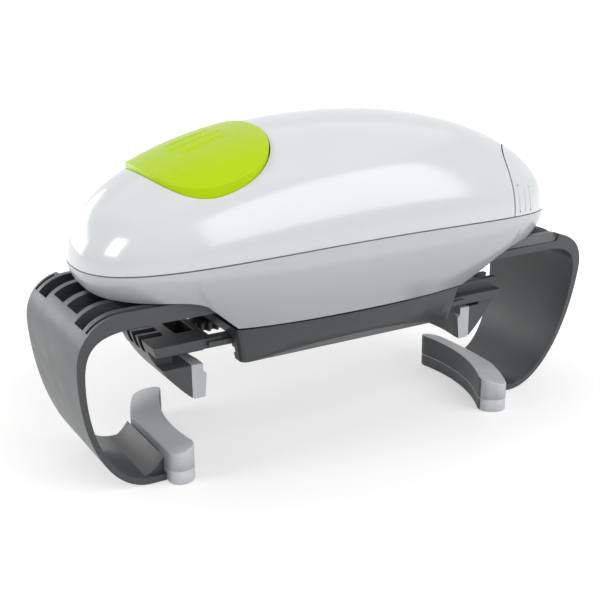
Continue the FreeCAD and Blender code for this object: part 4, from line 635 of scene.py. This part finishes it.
def cover_skin(bm, housing, form, shift):
    """One face of the battery cover: rings from its edge in to a patch at the nose."""
    sides, crown, rows = COVER_SIDES, COVER_CROWN, COVER_ROWS
    w = np.linspace(-1, 1, 2 * sides + crown + 1)
    edge = cover_line(housing, form, w, shift)
    edge_y = form.across(edge, w)
    edge_z = form.at(edge, edge_y) - form.station(form.station_of(edge))[2]
    patch_y, patch_z = PATCH_WIDTH * form.width, PATCH_HEIGHT * form.rise
    across = np.linspace(-patch_y, patch_y, crown + 1)
    up = np.linspace(0, patch_z, sides + 1)
    patch_rim_y = np.concatenate([np.full(sides, -patch_y), across, np.full(sides, patch_y)])
    patch_rim_z = np.concatenate([up[:-1], np.full(crown + 1, patch_z), up[-2::-1]])
    place = np.zeros((len(w), rows + 1, 3))
    for row in range(rows + 1):
        t = row / rows
        y = edge_y + (patch_rim_y - edge_y) * t
        z = edge_z + (patch_rim_z - edge_z) * t
        place[:, row] = form.facing(y, z)
    shaped_grid(bm, place)
    nose = np.zeros((crown + 1, sides + 1, 3))
    for row in range(sides + 1):
        nose[:, row] = form.facing(across, up[row])
    shaped_grid(bm, nose)
    merge(bm)


def finger_line(bm, form, along, across):
    """A short raised line on the side of the cover, for the thumb."""
    width, rise, seam = form.station(form.station_of(along))
    rings = []
    for v in np.linspace(*FINGER_SPAN, FINGER_STATIONS):
        y = width * cubic(v, 1, 1, SECTION_FULLNESS, 0)
        z = seam + rise * cubic(v, 0, SECTION_FULLNESS, 1, 1)
        rings.append([(along + shift * MM + FINGER_OUT.x * height * MM,
                       across * (y + FINGER_OUT.y * height * MM), z + FINGER_OUT.z * height * MM)
                      for shift, height in FINGER_PROFILE])
    closed_tube(bm, rings)
    fill_holes(bm)


def make_battery_cover():
    housing = bpy.context.scene.jar_opener_housing
    outer = DomeForm(housing)
    bm = bmesh.new()
    for form in (outer, DomeForm(housing, -housing.wall)):
        skin = bmesh.new()
        cover_skin(skin, housing, form, housing.cover_gap)
        lift_off_seam(skin, form, housing.seam_gap / 2)
        join(bm, skin)
    close_between(bm, lambda point: True)
    for along in FINGER_LINES:
        for across in (-1, 1):
            finger_line(bm, outer, along * MM, across)
    piece_from(bm, "battery_lid", "battery_cover", materials["white"],
               ("battery_cover",), edge=housing.lip, angle=45)


def skirt_level(housing, x):
    """Height of the skirt's lower edge, which flares up towards the ends."""
    corner, end = housing.skirt_corner, housing.skirt_corner + housing.scoop
    rise = housing.end_floor - housing.skirt
    along = cubic(FINE, corner, corner + SCOOP_START * housing.scoop,
                  end - SCOOP_END * housing.scoop, end)
    height = cubic(FINE, housing.skirt, housing.skirt + SCOOP_RISE * rise, housing.end_floor,
                   housing.end_floor)
    return np.interp(np.abs(x), along, height)


def skirt_point(housing, plan_x, plan_y, share, inset):
    """Point of the bottom shell's face; share is 0 at the skirt's edge and 1 at the shoulder."""
    swing = math.sin(min(share, 1.0) * math.pi / 2)
    level = min(share, 1.0)
    half_length = housing.skirt_half_length
    half_length += (housing.half_length - half_length) * swing - inset
    half_width = housing.skirt_half_width
    half_width += (housing.half_width - half_width) * (level + swing) / 2 - inset
    shoulder = housing.seam - housing.seam_drop
    return (half_length * plan_x, half_width * plan_y,
            housing.skirt + (shoulder - housing.skirt) * share)


def skirt_share(housing, z):
    """How far up the bottom shell a height lies, 0 at the skirt's edge and 1 at the shoulder."""
    return (z - housing.skirt) / (housing.seam - housing.seam_drop - housing.skirt)


def bowl_skin(bm, housing, inset):
    """One face of the bottom shell, from the seam down to the flared lower edge."""
    rows = BOWL_ROWS
    arc = np.hypot(np.diff(PLAN_X) * PLAN_STRETCH, np.diff(PLAN_Y))
    run = np.concatenate([[0], np.cumsum(arc)])
    u = np.interp(np.linspace(0, run[-1], BOWL_QUARTER + 1), run, FINE)
    px, py = np.interp(u, FINE, PLAN_X), np.interp(u, FINE, PLAN_Y)
    round_x = np.concatenate([px[:-1], px[:0:-1], -px[:-1], -px[:0:-1]])
    round_y = np.concatenate([py[:-1], -py[:0:-1], -py[:-1], py[:0:-1]])
    form = DomeForm(housing, -inset)
    place = np.zeros((len(round_x), rows + 1, 3))
    for i, (a, b) in enumerate(zip(round_x, round_y)):
        low, high = 0.0, 1.0
        x, _, z = skirt_point(housing, a, b, 0, inset)
        if z < skirt_level(housing, x) - TOUCHING:
            for _ in range(HALVINGS):
                middle = (low + high) / 2
                x, _, z = skirt_point(housing, a, b, middle, inset)
                low, high = (middle, high) if z < skirt_level(housing, x) else (low, middle)
        seam = form.station(np.interp(abs(a), PLAN_X, FINE))[2] - housing.seam_gap / 2
        top = skirt_share(housing, seam)
        for row in range(rows + 1):
            share = top + (low - top) * row / rows
            place[i, row] = skirt_point(housing, a, b, share, inset)
    shaped_grid(bm, np.concatenate([place, place[:1]]))
    merge(bm)


def bowl_half_width(housing, x, z, inset):
    """Half width of the bottom shell at x and at a height."""
    half_length, half_width, _ = skirt_point(housing, 1.0, 1.0, skirt_share(housing, z), inset)
    return half_width * np.interp(np.abs(x) / half_length, PLAN_X, PLAN_Y)


def end_floor(bm, housing, side):
    """Closes an end of the bottom shell: flared strips beside the arm and a roof over it."""
    roof = housing.end_floor + housing.wall
    inset, slot = housing.wall / 2, housing.arm_slot
    stations = np.linspace(housing.skirt_corner, housing.half_length, END_STATIONS)
    level = skirt_level(housing, stations)
    half = np.array([bowl_half_width(housing, x, z, inset) for x, z in zip(stations, level)])
    beside = half > slot
    for across in (-1, 1):
        place = np.zeros((int(beside.sum()), END_ROWS + 1, 3))
        for row in range(END_ROWS + 1):
            y = slot + (half[beside] - slot) * row / END_ROWS
            place[:, row] = points(side * stations[beside], across * y, level[beside])
        strip = shaped_grid(bm, place)
        thicken_up(bm, strip, roof)
    nose = skirt_point(housing, 1.0, 1.0, skirt_share(housing, housing.end_floor), inset)
    first = np.interp(housing.skirt_corner / nose[0], PLAN_X, FINE)
    u = first + np.linspace(0, 1, END_ROUND + 1) * (1 - first)
    x = side * nose[0] * np.interp(u, FINE, PLAN_X)
    y = np.minimum(nose[1] * np.interp(u, FINE, PLAN_Y), slot + ROOF_LAP)
    outline = list(zip(x, y)) + list(zip(x[-2::-1], -y[-2::-1]))
    slab(bm, [(a, b, housing.end_floor) for a, b in outline], (0, 0, housing.wall))


def thicken_up(bm, verts, level):
    """Turns a sheet into a solid whose upper face lies at a level."""
    faces = list({face for vertex in verts for face in vertex.link_faces})
    grown = bmesh.ops.extrude_face_region(bm, geom=faces)["geom"]
    for item in grown:
        if isinstance(item, bmesh.types.BMVert):
            item.co.z = level


def make_bottom_shell():
    housing = bpy.context.scene.jar_opener_housing
    bm = bmesh.new()
    for inset in (0.0, housing.wall):
        skin = bmesh.new()
        bowl_skin(skin, housing, inset)
        join(bm, skin)
    under_seam = housing.seam - housing.seam_drop - SEAM_BAND
    close_between(bm, lambda point: point.z > under_seam)
    for side in (-1, 1):
        end_floor(bm, housing, side)
    # the bottom shell takes the white with painted shade
    piece_from(bm, "skirt_shell", "housing", materials["lower"],
               ("bottom_shell",), edge=housing.lip, angle=45)


# -------- start button

TOP_SHARES = np.concatenate([np.linspace(0.0, 0.9, 80), np.linspace(0.9, 0.955, 6)[1:]])
RIM_STEPS, SIDE_STEPS = 8, 6   # rings of faces over the button's rim and down its sides
ROOF_SHARES = (0.6, 0.3, 0.0)   # where rings lie under the cap's roof
BUTTON_ROUND, PLUNGER_ROUND = 240, 64   # faces round each
CAP_BITE = 0.3 * MM       # how far the plunger reaches into the cap
PLUNGER = ((0.0, 98.0), (2.6, 98.0), (2.6, 100.8), (6.65, 100.8), (6.65, 98.3), (7.4, 98.3))
# radius and height in mm: a pin over the switch in a cup that leaves the spring its travel


def make_button():
    housing = bpy.context.scene.jar_opener_housing
    button = bpy.context.scene.jar_opener_button
    face = DomeForm(housing, button.flare, button.crown)
    under = DomeForm(housing, button.flare, button.crown - button.wall)
    face.length = under.length = housing.half_length + button.end_flare
    edge = DomeForm(housing, -button.sink)
    angle = angles_round(BUTTON_ROUND)
    rings = []
    rim_x, rim_y = button_outline(button, angle)
    for share in TOP_SHARES:
        x = -button.centre + (rim_x + button.centre) * share
        y = rim_y * share
        rings.append(points(x, y, face.at(x, y) - grip_depth(button, x, y)))
    for turn in np.linspace(0, math.pi / 2, RIM_STEPS + 1)[1:]:
        inward = button.rim * (1 - math.sin(turn))
        x, y = button_outline(button, angle, -inward)
        top = face.at(*button_outline(button, angle, -button.rim))
        rings.append(points(x, y, top - button.rim * (1 - math.cos(turn))))
    top = rings[-1][:, 2]
    bottom = edge.at(rim_x, rim_y)
    for share in np.linspace(0, 1, SIDE_STEPS + 1)[1:]:
        rings.append(points(rim_x, rim_y, top + (bottom - top) * share))
    in_x, in_y = button_outline(button, angle, -button.wall)
    rings.append(points(in_x, in_y, edge.at(in_x, in_y)))
    rings.append(points(in_x, in_y, np.maximum(under.at(in_x, in_y), rings[-1][:, 2])))
    for share in ROOF_SHARES:
        x = -button.centre + (in_x + button.centre) * share
        rings.append(points(x, in_y * share, under.at(x, in_y * share)))
    bm = bmesh.new()
    closed_tube(bm, rings)
    merge(bm)
    piece_from(bm, "button_cap", "start_button", materials["lime"], ("start_button",),
               angle=50)
    make_plunger(button, under)


def make_plunger(button, under):
    """The pin and its cup, from the switch up to the underside of the cap."""
    radius = PLUNGER[-1][0]
    crest = (under.at(-button.plunger_axis - radius * MM, 0.0) + CAP_BITE) / MM
    turn = angles_round(PLUNGER_ROUND)
    bm = bmesh.new()
    closed_tube(bm, [points(r * MM * np.cos(turn) - button.plunger_axis, r * MM * np.sin(turn),
                            z * MM)
                     for r, z in (*PLUNGER, (radius, crest), (0.0, crest))])
    merge(bm)
    piece_from(bm, "button_plunger", "start_button", materials["lime"], edge=0.2 * MM,
               segments=2, angle=35)


def grip_depth(button, x, y):
    """Depth of three parallel finger grooves in the middle of the button."""
    depth = np.zeros(np.shape(x))
    for number in (-1, 0, 1):
        middle = number * button.groove_pitch
        reach = button.groove_reach - abs(number) * button.groove_taper
        over = np.maximum(np.abs(x + button.centre) - reach, 0)
        away = np.hypot(over, y - middle) / button.groove_half_width
        depth = np.maximum(depth, np.where(away < 1, np.cos(away * math.pi / 2) ** 2, 0))
    return button.groove_depth * depth


# -------- arms

CHANNELS = ((-26.7, -25.1), (-22.6, -14.8), (-11.9, -1.7), (1.7, 11.9), (14.8, 22.6),
            (25.1, 26.7))   # the channels between an arm's ribs, across the arm in mm
RACK_RELIEF = (11.9, 13.8)   # the fourth is wider inside, for the other arm's rack
SWEPT_FROM = 10.0         # channels further out than this reach further round the bend, in mm
STEP_SLOPE = 1.5          # of the step in the low rim
STEP_MARGIN = 3 * MM      # the channel behind that step starts this far after it
BEND_TOP = 12 * MM        # the channels lie less than this under the arms' top,
UPPER_FACES = 5 * MM      # and the faces that they are sunk into less than this
LEVEL_ENOUGH = 0.5        # such a face's normal has less than this of Y
BEND_FULLNESS = 0.60      # the same fullness values as the CAD source's
INNER_BEND_FULLNESS = 0.75
SIDE_FULLNESS = 0.50
HEEL_FULLNESS = 0.62
RAMP_FULLNESS, RAMP_STATIONS = 0.4, 12
STRAIGHT = 8              # stations along the plates
ROUND_BEND = 36           # stations round the bend, and as many down the side


def arm_paths(arm):
    """Outer and inner side view of the band, from the plate's inner end to the foot's tip."""
    along = cubic(FINE, arm.bend, arm.bend + BEND_FULLNESS * (arm.reach - arm.bend), arm.reach,
                  arm.reach)
    steps = np.linspace(0, 1, ROUND_BEND + 1)
    for end in (arm.channel_end, arm.channel_end + arm.channel_sweep):
        place = np.interp(end, along, FINE)
        steps[np.argmin(np.abs(steps - place))] = place

    even = np.linspace(0, 1, ROUND_BEND + 1)[1:]
    straight = np.linspace(0, 1, STRAIGHT + 1)[:-1]
    begin = arm.start - MM    # a little too long, for a clean cut through the channels

    def side_view(reach, widest, level, bend, floor, fullness):
        lead = np.stack([begin + (bend - begin) * straight, np.full(STRAIGHT, level)], 1)
        upper = np.stack([cubic(steps, bend, bend + fullness * (reach - bend), reach, reach),
                          cubic(steps, level, level, widest + fullness * (level - widest),
                                widest)], 1)
        heel = arm.heel
        lower = np.stack([cubic(even, reach, reach, heel + HEEL_FULLNESS * (reach - heel), heel),
                          cubic(even, widest, widest - SIDE_FULLNESS * (widest - floor), floor,
                                floor)], 1)
        return np.concatenate([lead, upper, lower, [[arm.tip, floor]]])

    return (side_view(arm.reach, arm.widest, arm.top, arm.bend, 0.0, BEND_FULLNESS),
            side_view(arm.reach - arm.wall, arm.widest - arm.bend_lead, arm.top - arm.plate,
                      arm.bend - arm.bend_lead, arm.foot_wall, INNER_BEND_FULLNESS))


def arm_half_width(arm, z):
    """The arms' sides slant from the plates' width to the feet's."""
    bottom = arm.top - arm.plate
    share = np.clip((z + MM) / (bottom + MM), 0, 1)
    return arm.foot_half_width + (arm.half_width - arm.foot_half_width) * share


def sink_channels(bm, arm, outer):
    """Sinks the channels between the ribs into the upper face of the band."""
    slope = np.gradient(outer, axis=0)
    slope /= np.linalg.norm(slope, axis=1)[:, None]
    upper = outer[:, 1] > arm.top - BEND_TOP
    for low, high in CHANNELS:
        swept = abs(low + high) / 2 > SWEPT_FROM
        end = arm.channel_end + (arm.channel_sweep if swept else 0.0)
        faces = []
        for face in bm.faces:
            centre = face.calc_center_median()
            widened = high == RACK_RELIEF[0] and centre.x < arm.relief_end
            across = (RACK_RELIEF[1] if widened else high) * MM
            if not (low * MM < centre.y < across and centre.x < end):
                continue
            if (low, high) == CHANNELS[0] and centre.x < arm.step + STEP_MARGIN:
                continue    # the low rim has no channel
            if centre.z > arm.top - UPPER_FACES and abs(face.normal.y) < LEVEL_ENOUGH:
                faces.append(face)
        grown = bmesh.ops.extrude_face_region(bm, geom=faces)["geom"]
        for vertex in grown:
            if isinstance(vertex, bmesh.types.BMVert):
                run = [float(np.interp(vertex.co.x, outer[upper, 0], slope[upper, axis]))
                       for axis in (0, 1)]
                vertex.co.x += run[1] * arm.channel_depth
                vertex.co.z -= run[0] * arm.channel_depth
        bmesh.ops.delete(bm, geom=faces, context="FACES")


def make_arm(side, turned):
    arm = bpy.context.scene.jar_opener_arms
    outer, inner = arm_paths(arm)
    edges = sorted({edge for channel in (*CHANNELS, RACK_RELIEF) for edge in channel})
    shares = np.array([-1.0] + [edge * MM / arm.half_width for edge in edges] + [1.0])
    bm = bmesh.new()
    rings = []
    for (ox, oz), (ix, iz) in zip(outer, inner):
        wide, slim = float(arm_half_width(arm, oz)), float(arm_half_width(arm, iz))
        rim = min(oz, arm.low_rim + max(0.0, ox - arm.step) * STEP_SLOPE)
        ring = [(ox, share * wide, rim if number < 2 else oz)
                for number, share in enumerate(shares)]
        ring += [(ix, share * slim, iz) for share in shares[::-1]]
        rings.append(ring)
    closed_tube(bm, rings)
    merge(bm)
    fill_holes(bm)
    bmesh.ops.recalc_face_normals(bm, faces=bm.faces[:])
    sink_channels(bm, arm, outer)
    cut_off(bm, (arm.start, 0, 0), (-1, 0, 0))
    block(bm, (arm.tip - arm.tongue_wall, -arm.tongue_half_width, arm.slip),
          (arm.tip, arm.tongue_half_width, arm.tongue))
    t = np.linspace(0, 1, RAMP_STATIONS + 1)
    x = arm.tip + arm.ramp * cubic(t, 0, RAMP_FULLNESS, 1 - RAMP_FULLNESS, 1)
    z = cubic(t, arm.tongue, arm.foot_wall, arm.foot_wall, arm.foot_wall)
    base = arm.foot_wall / 2
    side_view = [*zip(x, z), (arm.tip + arm.ramp, base), (arm.tip, base)]
    slab(bm, [(x, -arm.ramp_half_width, z) for x, z in side_view],
         (0, 2 * arm.ramp_half_width, 0))
    if turned:
        half_turned(bm)
    drive = copy_of(side + "_arm")
    sign = -1 if turned else 1
    floor = arm.top - arm.channel_depth - arm.root_sink
    cut_off(drive, (sign * (arm.start + arm.root_length), 0, 0), (sign, 0, 0))
    cut_off(drive, (0, -sign * arm.rack_face, 0), (0, sign, 0))
    cut_off(drive, (0, -sign * arm.rack_back, 0), (0, -sign, 0))
    cut_off(drive, (0, 0, floor), (0, 0, -1))
    join(bm, drive)
    piece_from(bm, side + "_arm_band", side + "_arm", materials["grey"],
               (side + "_arm",), edge=arm.edge)


# -------- pieces that keep their CAD shape

FOLLOWERS = (
    # node, name, body, slot, material, edge rounding in mm
    ("chassis", "chassis_tray", "housing", "dark_plastic", "grey", 0.25),
    ("left_foot_pad", "left_foot_grip", "left_arm", "pad_rubber", "pad", 0.8),
    ("right_foot_pad", "right_foot_grip", "right_arm", "pad_rubber", "pad", 0.8),
    ("left_jaw", "left_jaw_slider", "left_jaw", "light_grey_plastic", "grey", 0.6),
    ("right_jaw", "right_jaw_slider", "right_jaw", "light_grey_plastic", "grey", 0.6),
    ("left_jaw_pad", "left_lid_pad", "left_jaw", "pad_rubber", "claw", 0.4),
    ("right_jaw_pad", "right_lid_pad", "right_jaw", "pad_rubber", "claw", 0.4),
    ("carriage_housing", "carriage_shell", "carriage", "grey_plastic", "grey", 0.5),
    ("carriage_cover", "carriage_plate", "carriage", "grey_plastic", "grey", 0.25),
)

PLAIN_NODES = (
    ("carriage_spindle", "steel"), ("spindle_screw", "steel"), ("turntable_gear", "nylon"),
    ("reduction_gear_b", "nylon"), ("reduction_gear_a", "nylon"), ("motor_pinion", "steel"),
    ("arm_pinion", "nylon"), ("jaw_pinion", "nylon"), ("gear_deck", "dark"),
    ("gear_plate", "dark"), ("gear_axles", "steel"), ("motor", "can"), ("circuit_board", "board"),
    ("button_switch", "switch"), ("button_spring", "steel"), ("battery_cells", "cell"),
    ("battery_tray", "dark"), ("battery_contacts", "nickel"), ("contact_springs", "steel"),
)

PARTING_LEVEL, PARTING_HALF, PARTING_DEPTH = 5.0 * MM, 0.16 * MM, 0.3 * MM
JAR_MIDDLE = (-4.0 * MM, 8.0 * MM)   # of the right foot pad's curve
PAD_SHARP = math.radians(35)   # edges of the foot pads sharper than this are rounded
# faces within this angle get the painted shade
FACING = 0.8              # cosine of the angle within which a face looks at the jar or the lid


def dress_followers():
    for node, name, body, slot, material, edge in FOLLOWERS:
        bm = copy_of(node)
        if material == "pad":
            round_edges(bm, edge * MM)
            score_around(bm)
            edge = 0.0
        piece = piece_from(bm, name, body, materials[material], (node,), edge=edge * MM)
        if material in ("pad", "claw"):
            # paints shade on the faces that look at the jar or the lid
            paint_shade_on_grip_faces(piece, -1 if node.startswith("left") else 1, material == "pad")


def round_edges(bm, width):
    """Rounds the sharp edges of a closed mesh."""
    sharp = [edge for edge in bm.edges
             if len(edge.link_faces) == 2 and edge.calc_face_angle(0.0) > PAD_SHARP]
    bmesh.ops.bevel(bm, geom=sharp, offset=width, offset_type="OFFSET", segments=3, profile=0.5,
                    affect="EDGES", material=-1, clamp_overlap=True)


def score_around(bm):
    """A fine parting line all round, left by the two halves of the mould."""
    for height in (-PARTING_HALF, 0.0, PARTING_HALF):
        bmesh.ops.bisect_plane(bm, geom=bm.verts[:] + bm.edges[:] + bm.faces[:], dist=TOUCHING,
                               plane_co=(0, 0, PARTING_LEVEL + height), plane_no=(0, 0, 1))
    bm.normal_update()
    for vertex in bm.verts:
        if abs(vertex.co.z - PARTING_LEVEL) < 1e-6:
            vertex.co -= Vector((vertex.normal.x, vertex.normal.y, 0)) * PARTING_DEPTH


def paint_shade_on_grip_faces(piece, side, curved):
    """Paints shade on the faces that touch the jar or the lid: they get a darker copy of the
    rubber.
    """
    piece.data.materials.append(materials["grip_painted_shade"])
    for face in piece.data.polygons:
        inward = Vector((-side, 0, 0))
        if curved:
            middle = Vector((side * JAR_MIDDLE[0], side * JAR_MIDDLE[1], face.center.z))
            inward = (middle - face.center).normalized()
        if face.normal.dot(inward) > FACING:
            face.material_index = 1


def dress_plain_nodes():
    for node, material in PLAIN_NODES:
        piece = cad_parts[node]
        for holder in piece.material_slots:
            holder.material = materials[material]


# -------- stage

CAMERA_AT = (-0.20236, -0.34047, 0.18165)
CAMERA_RIGHT = (0.86784, -0.49683, -0.00992)
CAMERA_UP = (0.16783, 0.27421, 0.94700)
CAMERA_LENS = 66.56

FLOOR_HALF = 4.0          # half width of the floor in metres
FLOOR_DROP = 0.2 * MM     # how far it lies under the feet
FLOOR_BOUNCE = 0.62       # share of the light that the floor gives back to the object
FLOOR_NEAR, FLOOR_FAR, FLOOR_GLOW = 0.06, 0.34, 0.52   # it glows from that share near the object to 1 far off; the weaker glow near the object is painted shade
FILL_LIGHT, BACKDROP_LIGHT = 0.21, 1.0
LIGHTS = (
    # name, place, target and size in metres, power in watts
    ("front_softbox", (0.30, -0.85, 0.66), (0.0, 0.0, 0.09), (1.4, 0.85), 9.5),
    ("top_softbox", (0.10, 0.35, 1.1), (0.0, 0.0, 0.08), (2.0, 1.6), 3.2),
    ("left_softbox", (-1.0, 0.05, 0.50), (0.0, 0.0, 0.06), (0.3, 0.4), 4.4),
    ("back_softbox", (-0.5, 1.1, 0.24), (-0.08, 0.0, 0.06), (0.9, 0.35), 2.6),
)


def make_stage():
    finish = bpy.context.scene.jar_opener_finishes
    scene = bpy.context.scene
    data = bpy.data.cameras.new("camera")
    data.lens = CAMERA_LENS
    data.sensor_width = 36.0
    data.clip_start = 0.01
    camera = bpy.data.objects.new("camera", data)
    right = Vector(CAMERA_RIGHT).normalized()
    back = right.cross(Vector(CAMERA_UP)).normalized()
    turn = Matrix((right, back.cross(right), back)).transposed()
    camera.matrix_world = Matrix.Translation(CAMERA_AT) @ turn.to_4x4()
    scene.collection.objects.link(camera)
    scene.camera = camera

    bm = bmesh.new()
    bmesh.ops.create_grid(bm, x_segments=8, y_segments=8, size=FLOOR_HALF)
    floor = object_from(bm, "studio_floor")
    floor.location.z = -FLOOR_DROP
    floor.data.materials.append(floor_material(finish.floor))

    world = bpy.data.worlds.new("studio")
    scene.world = world
    world.use_nodes = True
    tree = world.node_tree
    tree.nodes.clear()
    fill = add_node(tree, "Background", {"Color": rgba(linear("#F2F5F7")),
                                          "Strength": FILL_LIGHT})
    backdrop = add_node(tree, "Background", {"Color": rgba(linear("#FEFEFE")),
                                              "Strength": BACKDROP_LIGHT})
    sky = add_node(tree, "MixShader", {0: seen_or_mirrored(tree), 1: fill.outputs[0],
                                       2: backdrop.outputs[0]})
    add_node(tree, "OutputWorld", {"Surface": sky.outputs[0]})

    for light in LIGHTS:
        soft_light(*light)
    scene.view_settings.view_transform = "Standard"


def soft_light(name, place, target, size, power):
    data = bpy.data.lights.new(name, "AREA")
    data.shape = "RECTANGLE"
    data.size, data.size_y = size
    data.energy = power
    lamp = bpy.data.objects.new(name, data)
    lamp.location = place
    lamp.rotation_mode = "QUATERNION"
    lamp.rotation_quaternion = (Vector(target) - Vector(place)).to_track_quat("-Z", "Y")
    bpy.context.scene.collection.objects.link(lamp)


def seen_or_mirrored(tree):
    """1 for rays that come from the camera, through glass or off a mirroring face, else 0."""
    rays = add_node(tree, "LightPath")
    direct = add_node(tree, "Math", {0: rays.outputs["Is Camera Ray"],
                                     1: rays.outputs["Is Transmission Ray"]}, operation="MAXIMUM")
    return add_node(tree, "Math", {0: direct.outputs[0], 1: rays.outputs["Is Glossy Ray"]},
                    operation="MAXIMUM").outputs[0]


def floor_material(base):
    """Seamless paper: it takes the shadows near the object, with painted shade from a weaker glow
    round it, and turns to plain white beyond.
    """
    material, tree, here = new_material("seamless_paper")
    away = add_node(tree, "VectorMath", {0: here}, operation="LENGTH")
    # painted shade: the glow is weaker near the object, so the floor round it is darker
    glow = add_node(tree, "MapRange", {"Value": away.outputs["Value"], "From Min": FLOOR_NEAR,
                                       "From Max": FLOOR_FAR, "To Min": FLOOR_GLOW,
                                       "To Max": 1.0})
    strength = add_node(tree, "Math", {0: glow.outputs["Result"], 1: seen_or_mirrored(tree)},
                        operation="MULTIPLY")
    paper = add_node(tree, "BsdfDiffuse", {"Color": rgba(shaded(base, FLOOR_BOUNCE))})
    white = add_node(tree, "Emission", {"Color": rgba(base), "Strength": strength.outputs[0]})
    sheet = add_node(tree, "AddShader", {0: paper.outputs[0], 1: white.outputs[0]})
    add_node(tree, "OutputMaterial", {"Surface": sheet.outputs[0]})
    return material


# -------- operators and panel

class JAR_OPENER_OT_finishes(Operator):
    """Make the plastics, rubbers and metals"""
    bl_idname = "jar_opener.finishes"
    bl_label = "Finishes"

    def execute(self, context):
        make_materials()
        return {"FINISHED"}


class JAR_OPENER_OT_top_shell(Operator):
    """Make the white dome of the housing"""
    bl_idname = "jar_opener.top_shell"
    bl_label = "Top shell"

    def execute(self, context):
        make_top_shell()
        return {"FINISHED"}


class JAR_OPENER_OT_battery_cover(Operator):
    """Make the battery cover"""
    bl_idname = "jar_opener.battery_cover"
    bl_label = "Battery cover"

    def execute(self, context):
        make_battery_cover()
        return {"FINISHED"}


class JAR_OPENER_OT_bottom_shell(Operator):
    """Make the lower shell with its skirt"""
    bl_idname = "jar_opener.bottom_shell"
    bl_label = "Bottom shell"

    def execute(self, context):
        make_bottom_shell()
        return {"FINISHED"}


class JAR_OPENER_OT_button(Operator):
    """Make the start button"""
    bl_idname = "jar_opener.button"
    bl_label = "Start button"

    def execute(self, context):
        make_button()
        return {"FINISHED"}


class JAR_OPENER_OT_arms(Operator):
    """Make both arms"""
    bl_idname = "jar_opener.arms"
    bl_label = "Arms"

    def execute(self, context):
        make_arm("right", False)
        make_arm("left", True)
        return {"FINISHED"}


class JAR_OPENER_OT_followers(Operator):
    """Dress the pieces that keep their CAD shape"""
    bl_idname = "jar_opener.followers"
    bl_label = "Carriage, jaws and pads"

    def execute(self, context):
        dress_followers()
        return {"FINISHED"}


class JAR_OPENER_OT_inside(Operator):
    """Dress the drive, the batteries and the electrics"""
    bl_idname = "jar_opener.inside"
    bl_label = "Inner parts"

    def execute(self, context):
        dress_plain_nodes()
        return {"FINISHED"}


class JAR_OPENER_OT_stage(Operator):
    """Set up the floor, the lights and the camera"""
    bl_idname = "jar_opener.stage"
    bl_label = "Stage"

    def execute(self, context):
        make_stage()
        return {"FINISHED"}


OPERATORS = (JAR_OPENER_OT_finishes, JAR_OPENER_OT_top_shell, JAR_OPENER_OT_battery_cover,
             JAR_OPENER_OT_bottom_shell, JAR_OPENER_OT_button, JAR_OPENER_OT_arms,
             JAR_OPENER_OT_followers, JAR_OPENER_OT_inside, JAR_OPENER_OT_stage)


class JAR_OPENER_PT_panel(Panel):
    """Lists the sizes, the finishes and the steps"""
    bl_idname = "JAR_OPENER_PT_panel"
    bl_label = "Jar Opener"
    bl_space_type = "VIEW_3D"
    bl_region_type = "UI"
    bl_category = "Jar Opener"

    def draw(self, context):
        for group in GROUPS:
            settings = getattr(context.scene, group)
            box = self.layout.box()
            for name in settings.bl_rna.properties.keys():
                if name not in {"rna_type", "name"}:
                    box.prop(settings, name)
        for operator in OPERATORS:
            self.layout.operator(operator.bl_idname)


GROUPS = {"jar_opener_housing": HousingSizes, "jar_opener_button": ButtonSizes,
          "jar_opener_arms": ArmSizes, "jar_opener_finishes": Finishes}
CLASSES = tuple(GROUPS.values()) + OPERATORS + (JAR_OPENER_PT_panel,)


def register():
    for one in CLASSES:
        bpy.utils.register_class(one)
    for name, group in GROUPS.items():
        setattr(bpy.types.Scene, name, PointerProperty(type=group))


def unregister():
    for name in GROUPS:
        delattr(bpy.types.Scene, name)
    for one in reversed(CLASSES):
        bpy.utils.unregister_class(one)


def main():
    register()
    for operator in OPERATORS:
        getattr(bpy.ops.jar_opener, operator.bl_idname.split(".")[1])()


if __name__ == "__main__":
    main()
